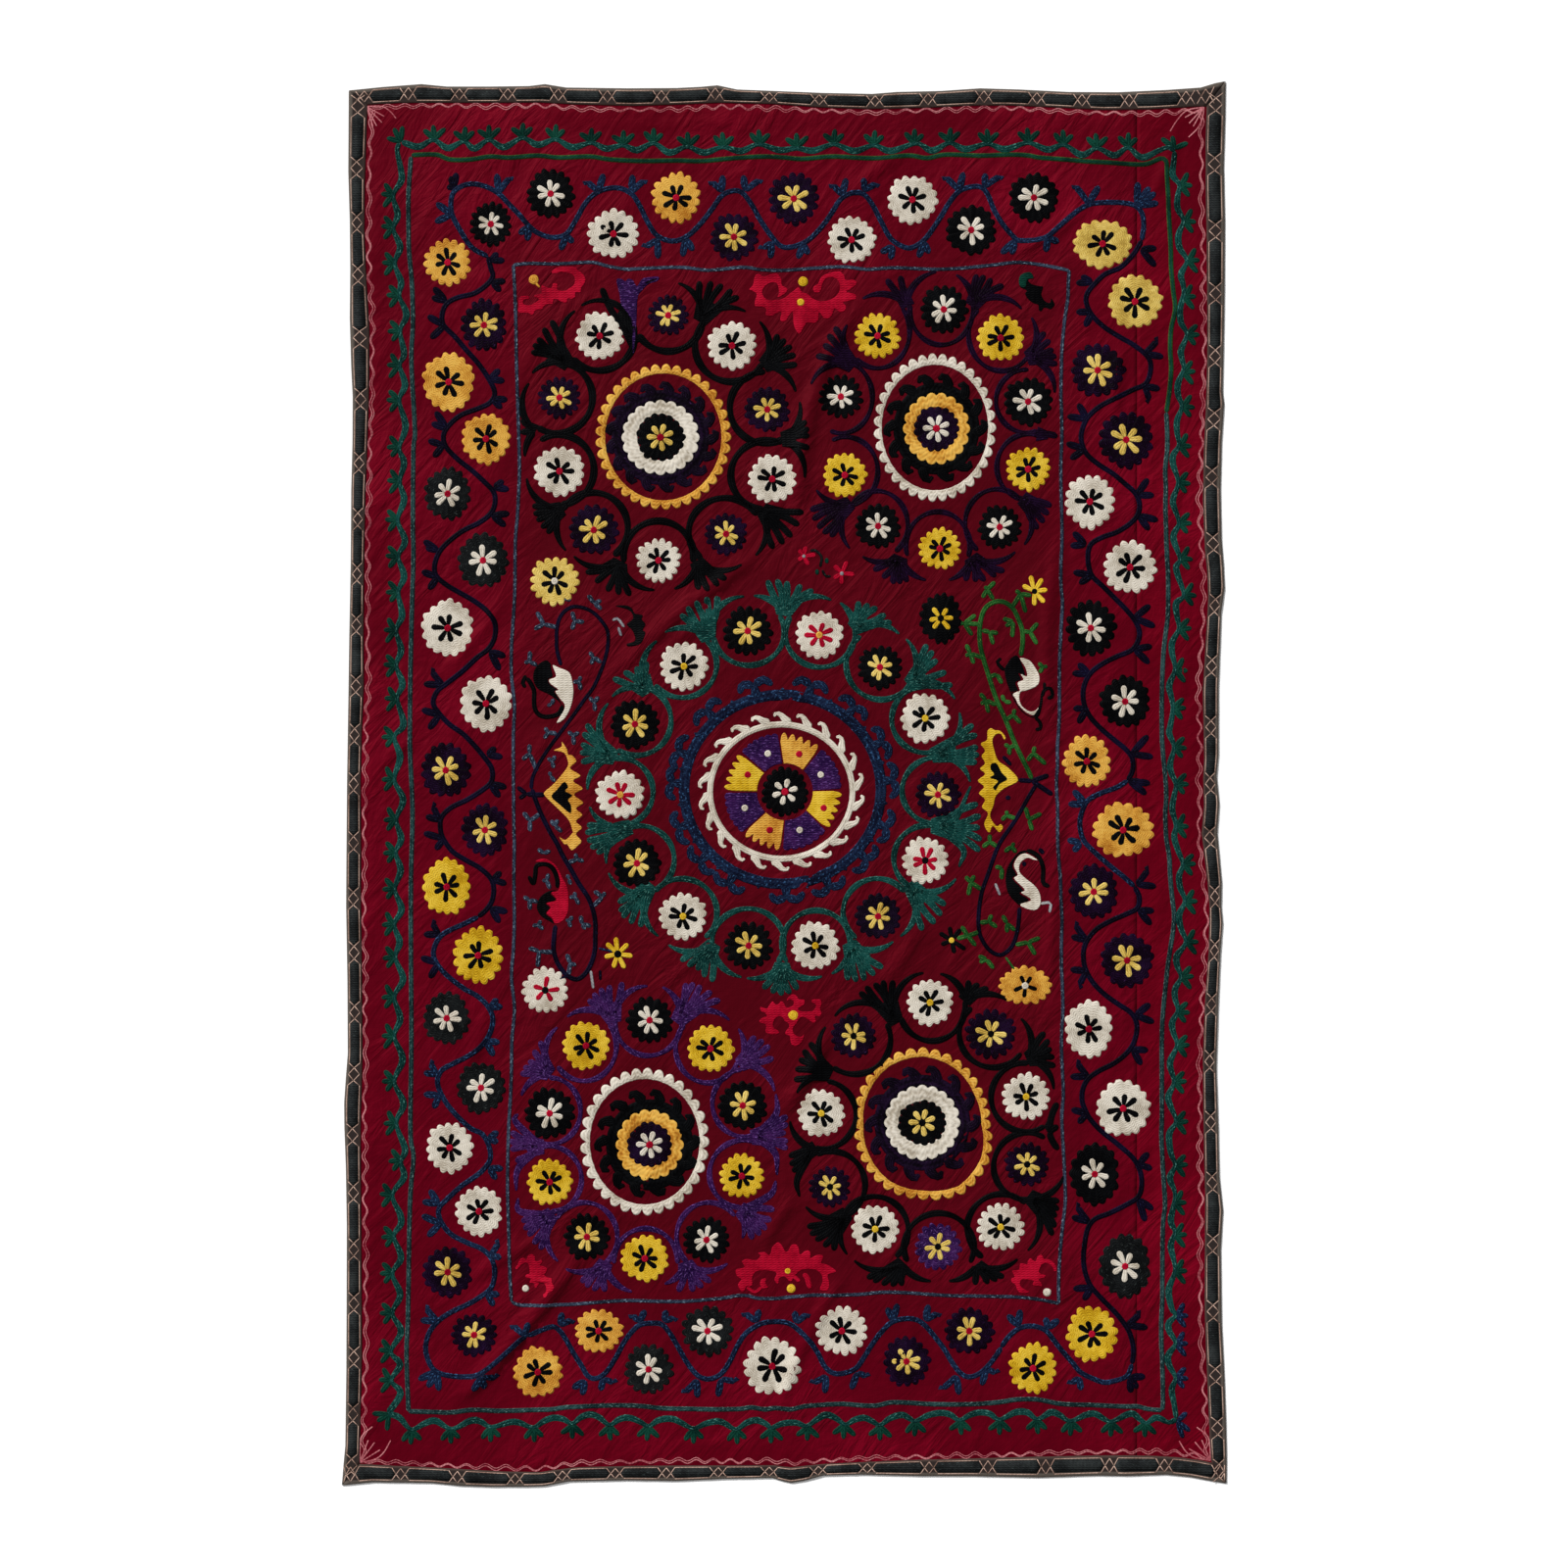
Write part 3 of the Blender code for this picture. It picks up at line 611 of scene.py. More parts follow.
# ------------------------------------------------------------------ how threads, rounds and rings are sewn
THREAD_HEIGHT = 0.75 * MM
SINK = 0.25 * MM
FINE_STEPS = 8
CORD_ACROSS = np.array([-1, -0.86, -0.5, 0.5, 0.86, 1])
CORD_UP = np.array([0, 0.85, 1, 1, 0.85, 0])


def places(text):
    """Numbers read off the chart: columns split by commas, rows by spaces."""
    return np.array([[float(n) for n in row.split(",")] for row in text.split()])


def smooth_path(path, closed=False):
    """A fine line through the path: between two points a cubic whose slope at each is half the step
    between that point's neighbours. Returns the points and the length so far."""
    p = np.asarray(path, dtype=float)
    before, after = (p[-1:], p[:2]) if closed else (2 * p[:1] - p[1:2], 2 * p[-1:] - p[-2:-1])
    q = np.concatenate([before, p, after])
    a, b, c, d = (q[i:len(q) - 3 + i, None] for i in range(4))
    t = (np.arange(FINE_STEPS) / FINE_STEPS)[None, :, None]
    fine = 0.5 * (2 * b + (c - a) * t + (2 * a - 5 * b + 4 * c - d) * t**2 + (3 * b - a - 3 * c + d) * t**3)
    fine = np.concatenate([fine.reshape(-1, p.shape[1]), c[-1]])
    step = np.hypot(*np.diff(fine[:, :2], axis=0).T)
    return fine, np.concatenate([[0], np.cumsum(step)])


def sew_line(sewing, path, width=None, base=0.0, height=THREAD_HEIGHT, step=3.0):
    """A row or two of chain stitch along a path: a low rounded section, its half width times
    (1, 0.86, 0.5) out and its height times (0, 0.85, 1) up, with rounded ends. A third column of the
    path is its width at each point."""
    path = np.asarray(path, dtype=float)
    if path.shape[1] == 2:
        path = np.concatenate([path, np.full((len(path), 1), float(width))], axis=1)
    fine, length = smooth_path(path)
    total, w = length[-1], path[:, 2].mean()
    near = np.array([0, 0.12, 0.5]) * min(w, total * 0.5)
    middle = np.linspace(near[-1], total - near[-1], max(int((total - w) / step), 1) + 1)
    s = np.unique(np.concatenate([near, middle, total - near]))
    x, y, wide = (np.interp(s, length, fine[:, i]) for i in range(3))
    look = 0.6 + 0.1 * w
    dx, dy = (np.interp(s + look, length, fine[:, i]) - np.interp(s - look, length, fine[:, i])
              for i in range(2))
    size = np.maximum(np.hypot(dx, dy), 1e-6)
    nx, ny = -dy / size, dx / size
    half = np.maximum(wide, 0.3) / 2
    end = np.sqrt(np.clip(1 - (1 - np.clip(np.minimum(s, total - s) / half, 0, 1)) ** 2, 0.06, 1))
    px = x[:, None] + (nx * half * end)[:, None] * CORD_ACROSS
    py = y[:, None] + (ny * half * end)[:, None] * CORD_ACROSS
    up = base + height * (0.45 + 0.55 * end)[:, None] * CORD_UP - SINK * (CORD_UP == 0)
    pz = cloth_top(px, py) + up
    n, m = px.shape
    fan = np.array([(0, i, i + 1) for i in range(1, m - 1)])
    rows = stitch_rows((s * UNIT_MM)[:, None], (half * UNIT_MM)[:, None] * CORD_ACROSS)
    sewing.add(metres(px, py, pz).reshape(-1, 3), [tube_faces(n, m), fan, fan[:, ::-1] + (n - 1) * m], rows)


# shares of the way out and up of the rings of points that make a round
ROUND_LIMIT = 8
BIG_ROUND = np.array([(1, 0), (1, 0), (0.97, 0.85), (0.86, 1), (0.69, 1), (0.52, 1), (0.35, 1), (0.18, 1)])
SMALL_ROUND = np.array([(1, 0), (1, 0), (0.8, 0.8), (0.45, 1)])


def scallop_bite(scallops, angle, power):
    """All round, one on a scallop's crown and less between two, as |cos(n angle / 2)| to a power."""
    return np.abs(np.cos(scallops * angle / 2)) ** power if scallops else 1.0


def sew_disc(sewing, x, y, rx, ry, scallops=0, depth=2.5, base=0.0, height=0.8 * MM, turn=0.0):
    """A round filled with rings of stitches: radius = 1 less a bite that is deepest between scallops,
    as |cos(n angle / 2)| to the power 0.55, a little uneven, and low at the rim. Its underside is
    flat and lies below the lowest stitch, so that it stays under the cloth where a fold runs through."""
    around = max(scallops * 6, 14)
    angle = np.linspace(0, 2 * np.pi, around, endpoint=False)
    bite = scallop_bite(scallops, angle - turn, 0.55)
    uneven = 1 + 0.022 * np.sin(3 * angle + x) + 0.018 * np.sin(5 * angle + y)
    uneven += 0.02 * np.sin(np.round(scallops * angle / (2 * np.pi)) * 2.3 + x) if scallops else 0
    share, lift = (BIG_ROUND if rx > ROUND_LIMIT else SMALL_ROUND).T
    edge_x, edge_y = (rx - depth * (1 - bite)) * uneven, (ry - depth * (1 - bite)) * uneven
    px = x + share[:, None] * (edge_x * np.cos(angle))[None, :]
    py = y - share[:, None] * (edge_y * np.sin(angle))[None, :]
    pz = cloth_top(px, py) + base + height * lift[:, None] - SINK * (lift == 0)[:, None]
    pz[0] = pz[1:].min() - height
    first, middle = np.arange(around), len(share) * around
    last = first + middle - around
    top = np.stack([last, np.roll(last, -1), np.full(around, middle)], axis=-1)
    under = np.stack([np.roll(first, -1), first, np.full(around, middle + 1)], axis=-1)
    ends = metres(x, y, np.array([cloth_top(x, y) + base + height, pz[0, 0]]))
    rows = stitch_rows(angle[None, :] * rx * 0.6 * UNIT_MM, share[:, None] * rx * UNIT_MM)
    sewing.add(np.concatenate([metres(px, py, pz).reshape(-1, 3), ends]),
               [tube_faces(len(share), around, turn=True), top, under],
               np.concatenate([rows, np.zeros((2, 2))]))


RING_SECTION = np.array([(0, 0), (0.12, 0.85), (0.5, 1), (0.88, 0.85), (1, 0)])


def sew_ring(sewing, x, y, inner, outer, scallops=0, depth=3.0, base=0.0, height=THREAD_HEIGHT):
    """A flat ring between two ovals, inner and outer as (rx, ry) or arrays of them all round; the outer
    edge is bitten between scallops."""
    around = max(scallops * 6, 48)
    angle = np.linspace(0, 2 * np.pi, around, endpoint=False)
    bite = scallop_bite(scallops, angle, 0.6)
    (ix, iy), (ox, oy) = inner, outer
    share, lift = RING_SECTION.T
    in_x, in_y = ix * np.cos(angle), iy * np.sin(angle)
    out_x = (ox - depth * (1 - bite)) * np.cos(angle)
    out_y = (oy - depth * (1 - bite)) * np.sin(angle)
    px = x + in_x[None, :] + share[:, None] * (out_x - in_x)[None, :]
    py = y - in_y[None, :] - share[:, None] * (out_y - in_y)[None, :]
    pz = cloth_top(px, py) + base + height * lift[:, None] - SINK * (lift == 0)[:, None]
    rows = stitch_rows(angle[None, :] * np.mean(ix) * UNIT_MM, share[:, None] * 10.0)
    sewing.add(metres(px, py, pz).reshape(-1, 3), [tube_faces(len(share), around, closed=True)], rows)


PATCH_ROWS = (1.3, 1.678)


def sew_patch(sewing, outline, base=0.0, height=THREAD_HEIGHT, smooth=True):
    """A filled shape: its outline sunk in the cloth, a shoulder 0.3 units in, a third line 0.8 units
    in at the full height, and the inside filled with triangles. A smooth one is rounded first, and
    keeps every second point of the fine line."""
    p = np.asarray(outline, dtype=float)
    if smooth:
        fine, _ = smooth_path(p, closed=True)
        p = fine[:-1:2]
    area = np.sum(p[:, 0] * np.roll(p[:, 1], -1) - np.roll(p[:, 0], -1) * p[:, 1])
    if area > 0:
        p = p[::-1]
    step = np.roll(p, -1, axis=0) - np.roll(p, 1, axis=0)
    size = np.maximum(np.hypot(*step.T), 1e-6)[:, None]
    inward = np.stack([step[:, 1], -step[:, 0]], axis=-1) / size
    shoulder, inset = p + inward * 0.3, p + inward * 0.8
    n = len(p)
    fill = np.array(tessellate_polygon([[Vector((a, -b, 0)) for a, b in inset.tolist()]])).reshape(-1, 3)
    a, b, c = (inset[fill[:, i]] for i in range(3))
    turn = (b[:, 0] - a[:, 0]) * (c[:, 1] - a[:, 1]) - (c[:, 0] - a[:, 0]) * (b[:, 1] - a[:, 1])
    fill = np.where((turn > 0)[:, None], fill[:, ::-1], fill)
    under = fill[:, ::-1]
    rings = np.concatenate([p, shoulder, inset])
    z = cloth_top(rings[:, 0], rings[:, 1]) + base
    z[:n] -= SINK
    z[n:2 * n] += height * 0.9
    z[2 * n:] += height
    i = np.arange(n)
    walls = [ring_walls(i, i + n), ring_walls(i + n, i + 2 * n)]
    sewing.add(metres(rings[:, 0], rings[:, 1], z), [*walls, fill + 2 * n, under], rings * PATCH_ROWS)


def arc_points(x, y, start, end, r_start, r_end):
    """Eight points round a centre from one angle to another, the shorter way, with the radius easing
    between."""
    turn = (end - start + np.pi) % (2 * np.pi) - np.pi
    t = np.linspace(0, 1, 8)
    angle, radius = start + turn * t, r_start + (r_end - r_start) * t
    return np.stack([x + radius * np.cos(angle), y + radius * np.sin(angle)], axis=-1)


# ------------------------------------------------------------------ the silks
SILK = {
    "white": silk("ivory_floss_silk", "#9A8F7E", "#BEB5A6", "#D2CABC"),
    "gold": silk("golden_floss_silk", "#985E1B", "#C08A34", "#D3A54C", "#9C4426", 0.72),
    "yellow": silk("lemon_floss_silk", "#9C740E", "#BE981C", "#D2B03C", "#94601C", 0.72),
    "straw": silk("straw_yellow_floss_silk", "#9A7B34", "#C0A24C", "#D6BC6C"),
    "teal": silk("deep_teal_floss_silk", "#041A19", "#082D2A", "#12423D", "#45776D", 0.62),
    "leaf": silk("dark_green_floss_silk", "#031A16", "#062A21", "#0E3D30"),
    "guard": silk("grey_teal_floss_silk", "#0B1A1C", "#12282A", "#284444", "#56706C", 0.61),
    "moss": silk("moss_green_floss_silk", "#0A2412", "#12351B", "#224C26", "#4A6434", 0.66),
    "green": silk("grass_green_floss_silk", "#0C2C10", "#164018", "#2A5E28", "#6A7C3C", 0.68),
    "navy": silk("indigo_floss_silk", "#040208", "#07040F", "#0F0B22", "#26304E", 0.69),
    # the blue's bright flecks are partly painted highlights where its sheen catches the light
    "blue": silk("blue_floss_silk", "#070A18", "#0B1024", "#142038", "#2E5074", 0.61),
    "slate": silk("slate_blue_floss_silk", "#121722", "#1C2433", "#343E50", "#6E8290", 0.61),
    "violet": silk("violet_floss_silk", "#160629", "#220B36", "#381748", "#62427E", 0.61),
    "plum": silk("dark_plum_floss_silk", "#060106", "#0C020E", "#190822", "#46285A", 0.70),
    "purple": silk("dark_purple_floss_silk", "#050206", "#0A040E", "#180A20", "#3A2248", 0.70),
    "black": silk("black_floss_silk", "#010102", "#030304", "#08090B", "#1A1C22", 0.74),
    "grey": silk("dark_grey_floss_silk", "#060707", "#0C0D0E", "#17191A", "#3A403E", 0.66),
    "red": silk("scarlet_floss_silk", "#6E0016", "#8E041E", "#A60C2A"),
    "pink": silk("faded_pink_thread", "#7E3440", "#A0525A", "#C07A7E"),
    "silver": silk("silver_grey_floss_silk", "#5A5B62", "#7C7C80", "#9C9A96"),
}
work = {}
# the shades of a rosette's round, its petals and its heart, by the kind that its tables name
KINDS = {
    "K": ("black", "white", "red"), "G": ("gold", "black", "red"), "Y": ("yellow", "black", "red"),
    "W": ("white", "black", "red"), "P": ("plum", "straw", "red"), "T": ("straw", "black", "red"),
    "D": ("grey", "white", "red"), "B": ("black", "straw", "red"), "R": ("white", "red", "gold"),
    "A": ("white", "black", "yellow"), "V": ("purple", "straw", "red"), "U": ("plum", "straw", "black"),
    "X": ("violet", "straw", "black"), "S": ("white", "red", "black"),
}
ROSETTE_SCALLOPS, ROSETTE_SIZE = 16, 25


def thread(name, shade):
    """The sewing that gathers one named group of one shade."""
    key = name + "_" + shade
    if key not in work:
        work[key] = (Sewing(key), shade)
    return work[key][0]


def sew_rosette(x, y, rx, ry, disc, petals, dot, group="border", count=7):
    """A scalloped round with petals sewn over it from a small heart outwards, and a dot on the heart. Each
    is turned its own way by its place, and its petals are a little uneven by sines of their number.
    The petals' sizes are those of a rosette of 25 units, in proportion."""
    turn = (x * 0.37 + y * 0.21) % 6.28
    sew_disc(thread(group + "_rounds", disc), x, y, rx * 1.03, ry * 1.03, ROSETTE_SCALLOPS, 5.8, turn=turn)
    reach = min(rx, ry)
    for k in range(count):
        angle = turn + 2 * np.pi * (k + 0.12 * np.sin(k * 2.3 + x)) / count
        near = 2.6 * reach / ROSETTE_SIZE
        far = (14.6 + 1.3 * np.sin(k * 1.7 + y)) * reach / ROSETTE_SIZE
        end = angle + 0.10 * np.sin(k * 3.1 + y)
        path = [(x + near * np.cos(angle), y + near * np.sin(angle), 4.4),
                (x + 0.6 * far * np.cos(angle), y + 0.6 * far * np.sin(angle), 5.4 * reach / ROSETTE_SIZE),
                (x + far * np.cos(end), y + far * np.sin(end), 7.4 * reach / ROSETTE_SIZE)]
        sew_line(thread(group + "_petals", petals), path, base=0.6 * MM, height=0.55 * MM, step=4)
    sew_disc(thread("hearts", dot), x, y, 4.0, 4.2, base=0.8 * MM, height=0.55 * MM)


# ------------------------------------------------------------------ the border: vine, guard lines, meander
# the wavy line of the vine along each side
VINE = {
    "top": """410,145 427,150 442.5,143 457,151.5 473.5,144.5 484,152 499,143 514,150.5 533,141 549,148
    567,142.5 584,150.5 603.5,146 619,152 635.5,148.5 650,153.5 667,146.5 683,156 701,150 718.5,156
    737.5,150.5 756,154.5 774,147.5 795,153.5 813,151.5 830,154 851,147.5 871.5,154.5 891.5,148.5 909,154.5
    935,146.5 951,154 969,146 985,152.5 1007.5,147 1025.5,152.5 1049,146 1069,153 1085.5,148 1103.5,158.5
    1119.5,151.5 1137,159 1151,151 1165,161 1182,154 1192,151 1198.5,155""",
    "right": """1198.5,155 1197.5,165 1196.5,179 1203.5,189 1201.5,201 1201.5,213 1207.5,225.5 1202.5,239.5
    1203.5,253 1211,266 1205,280 1207,290 1208,300 1204,315.5 1205,329.5 1211,341.5 1205,357.5 1206,367
    1208,377 1202,391 1202,403 1206,415 1201,429 1201,441 1203,454.5 1197,464.5 1197,474.5 1202,492.5
    1197,508 1197,516 1203,534 1197,548 1204,570 1200,578 1202,588 1208,607.5 1200,615.5 1201,629.5
    1203,641.5 1196,655.5 1196,667 1199,683 1193,699 1195,711 1197,723 1194,741 1193,748.5 1198,762.5
    1194,778.5 1195,788.5 1200,800.5 1198,812 1196,826 1200,842 1198,854 1202,868 1207,882 1203,893.5
    1204,905.5 1209,919.5 1203,933.5 1205,947.5 1210,961.5 1201,975 1201,985 1205,997 1199,1009 1199,1019
    1202,1031 1196,1043 1197,1053 1201,1066.5 1194,1082.5 1195,1092.5 1198,1104.5 1192,1118.5 1194,1128
    1200,1144 1193,1157 1194.5,1176 1199,1189 1193.5,1202 1199,1219 1194.5,1245 1199,1257 1194.5,1271
    1199,1295 1192.5,1316 1195.5,1335 1199.5,1342 1192.5,1350 1193,1358 1199.5,1370.5 1192,1382.5 1193,1393
    1199.5,1406 1195.5,1417.5 1198,1432.5 1200,1446.5""",
    "bottom": """396,1442 408,1446.5 419.5,1458.5 433,1452.5 444.5,1449.5 461,1458 480,1449.5 490,1450
    501.5,1456 520.5,1451 530,1451.5 544,1456.5 555,1450 565,1446.5 575,1448 584,1452.5 593,1446 602.5,1443
    612,1446.5 622,1454 632,1448 642,1446.5 652,1450 662,1455 672,1449 685,1447.5 695,1451.5 707.5,1457.5
    720,1452.5 732,1450 740,1452.5 751,1458.5 762,1451.5 772,1449 782,1453 787,1457 798,1452.5 812,1451.5
    823,1455 833,1448.5 843,1443.5 853,1447 862.5,1453.5 872,1448.5 882,1446.5 890,1450 898,1454 908,1447
    920,1443.5 927,1446.5 934,1450 947,1444 960,1441.5 970,1443.5 979,1449 990,1443.5 1000,1441 1010,1442.5
    1020,1448.5 1036,1441 1048,1441 1058.5,1448 1072,1441 1081,1443.5 1092,1450 1108,1443.5 1117.5,1442.5
    1127,1448 1134.5,1450.5 1149,1443.5 1156.5,1442.5 1163,1448 1170,1452 1180,1446 1191,1450.5 1197.5,1449
    1200,1446.5""",
    "left": """408,146 405.5,154 409.5,174.5 409.5,185 401.5,200 406,219.5 401.5,234 408.5,252 403,269
    409.5,288 407.5,302 415,321.5 408.5,337.5 412.5,361 408,373 413.5,393 407.5,409 414,435 407.5,457
    412.5,472.5 408,491.5 412.5,510 406,531 413.5,552 406.5,568 412.5,588 406.5,604.5 410.5,627.5
    404.5,643.5 409.5,663.5 404.5,679 411,698 405.5,713 412,739 402.5,752 408.5,772.5 402.5,795.5 411.5,816
    404.5,836 409.5,856 404,870 409,888 403,907.5 410,927.5 402.5,943.5 408,961.5 403.5,977 411.5,999
    402.5,1017 408.5,1039 402.5,1057.5 411,1080.5 402.5,1103.5 412,1126 404.5,1146 413.5,1172.5 409,1185.5
    412.5,1201 400.5,1219 408.5,1239 409,1249.5 402,1261.5 409.5,1283 400.5,1299.5 408.5,1321 400.5,1340
    409.5,1358.5 399,1379 408.5,1392 399.5,1408.5 409,1421.5 396,1442""",
}
# where the small three-lobed leaves grow from the vine, along each side
VINE_LEAVES = {
    "top": [443, 474, 499, 533, 567, 603, 636, 667, 702, 738, 775, 813, 851, 892, 933, 969, 1008, 1049,
            1085, 1119, 1151],
    "left": [199, 232, 269, 302, 338, 373, 409, 456, 491, 531, 568, 604, 643, 679, 713, 752, 795, 836,
             870, 907, 943, 977, 1017, 1057, 1103, 1146, 1184, 1219, 1262, 1299, 1340, 1378, 1408],
    "right": [189, 226, 266, 303, 342, 380, 415, 455, 493, 534, 570, 607, 642, 684, 723, 763, 800, 843,
              882, 920, 961, 997, 1033, 1067, 1104, 1145, 1189, 1227, 1260, 1297, 1342, 1371, 1406],
    "bottom": [420, 460, 501, 545, 584, 622, 661, 708, 752, 787, 824, 861, 898, 934, 980, 1020, 1058,
               1093, 1134, 1168],
}
# the vine's leaf at each corner: its base, its tips and its silk
CORNER_LEAVES = [
    ((409, 145), [(395, 141), (402, 131), (411, 129)], "leaf"),
    ((1198, 152), [(1185, 141), (1196, 139), (1212, 146)], "leaf"),
    ((397, 1443), [(380, 1442), (385, 1450), (395, 1459.5)], "leaf"),
    ((1201, 1450), [(1211, 1441), (1214, 1460), (1207, 1467)], "blue"),
]
# the guard line inside the vine, each length with its silk
GUARD = [
    ("green", """420,158.5 445,158 459,163 480,163 500,160 520,161 548,159 570,161 602,160 623,163 655,164.5
    690,164 716,164.5 750,161.5 780,160 800,161 819,162.5 849,160 880,161.5 900,161.5 928,159 946,161.5
    965,158 1000,159 1031,158 1050,159 1060,161 1087,163 1111,165 1130,166 1166,168 1181,163 1186,162
    1190,166 1190.5,178 1192,200 1192.5,217 1194.5,252 1195,274 1197,296 1199,315.5 1195,335.5 1194,355.5
    1195,377 1193,401 1190,421"""),
    ("guard", """1190,421 1191,441 1191,459 1189,478.5 1189.5,498.5 1189,518.5 1189.5,538 1190,552 1191,570
    1192,590 1192,609.5 1191.5,629.5 1189,649.5 1187,669 1186,689 1185.5,709 1185.5,749 1187,772.5
    1189,792.5 1190,812 1189,832 1190,855 1193,874 1194,894 1196,915.5 1198,933.5 1197,949.5 1194,969
    1191,989 1189,1009 1187,1029 1185.5,1055 1185.5,1102 1185.5,1142 1185,1157 1186,1185.5 1187.5,1209
    1188.5,1230.5 1186.5,1252 1186,1302 1186,1325.5 1185,1347 1185,1368 1186,1392 1186.5,1429
    1185,1438"""),
    ("guard", """417,1440 440,1440.5 460,1441 482.5,1438.5 511,1439.5 547,1438.5 563,1438 577,1436 597,1435
    623,1434 653,1434.5 677,1437 705,1437.5 730,1438 755,1437.5 767,1436 780,1438 793,1436.5 807,1438
    820,1435 837,1433.5 860,1432.5 880,1434 895,1434 908,1431 923,1431 947,1432.5 972,1433 997,1432.5
    1021,1430.5 1037,1428 1059,1428 1083,1432.5 1114,1433.5 1146,1435 1161,1435 1171,1437.5 1185,1438"""),
    ("guard", """419.5,160 417,199 417,225 417.5,256 420.5,290 421.5,330 420,369 423.5,439 422,460 421.5,538
    422,570 419.5,661 418.5,757 421,828 419.5,900 419.5,980 420,1060 419,1155 422,1181 418.5,1228 416.5,1340
    415,1382 417,1440"""),
]
# the thin line that frames the field, side by side
FRAME_LINES = [
    """524,270.5 541,269 561.5,269.5 580,269 604.5,268 621,272 639.5,275 650,274.5 694,273 723.5,276 757,273
    777,275.5 800,276 830,274 860.5,272.5 885,275 910,273.5 940,274.5 954,275 980,274 1010.5,271 1037,268
    1059,270 1081,274 1091,276.5""",
    """1091,276 1090,290 1089.5,305.5 1087,321.5 1085,339.5 1083.5,357.5 1083,377 1082.5,401 1083,419
    1083.5,445 1082.5,469 1082.5,492.5 1083,514 1083.5,536 1083.5,554 1082.5,574 1082.5,596 1084,615.5
    1083,635.5 1082,655.5 1081,679 1081,721 1080.5,741 1079,761 1079,780.5 1078,800.5 1079,824 1079,854
    1080,874 1082,896 1082.5,917.5 1083.5,939.5 1083,961.5 1083,985 1084,1007 1084.5,1029 1083.5,1049
    1083,1068.5 1084,1092.5 1085,1116 1083.5,1138 1084,1157 1085.5,1181 1086.5,1204.5 1087,1226
    1084.5,1249.5 1082,1273.5 1080.5,1297 1080,1316 1080.5,1330""",
    """522,1328 530,1331.5 547,1331.5 563,1331.5 588,1330.5 613,1328.5 638,1327 663,1327.5 688,1328
    705,1327.5 722,1326 738,1324.5 752,1322 763,1322 772,1324.5 790,1325 805,1323.5 830,1321.5 855,1321.5
    880,1320.5 900,1318.5 925,1319 947,1320.5 972,1322 1005,1322.5 1040,1323.5 1064,1326.5 1080.5,1330""",
    """524,270.5 525.5,300 526.5,330 527,361 528,399 529,429 530,465 530,488.5 528,528 526,552 525.5,600
    524,629.5 522,661 522,689 525,719 524,750 524,788.5 524.5,848 525,860 524.5,900 525,940 524,970 522,997
    525,1029 522.5,1061 522,1090 521,1120 519,1155 518,1209 519.5,1264 520.5,1302 522,1328""",
]
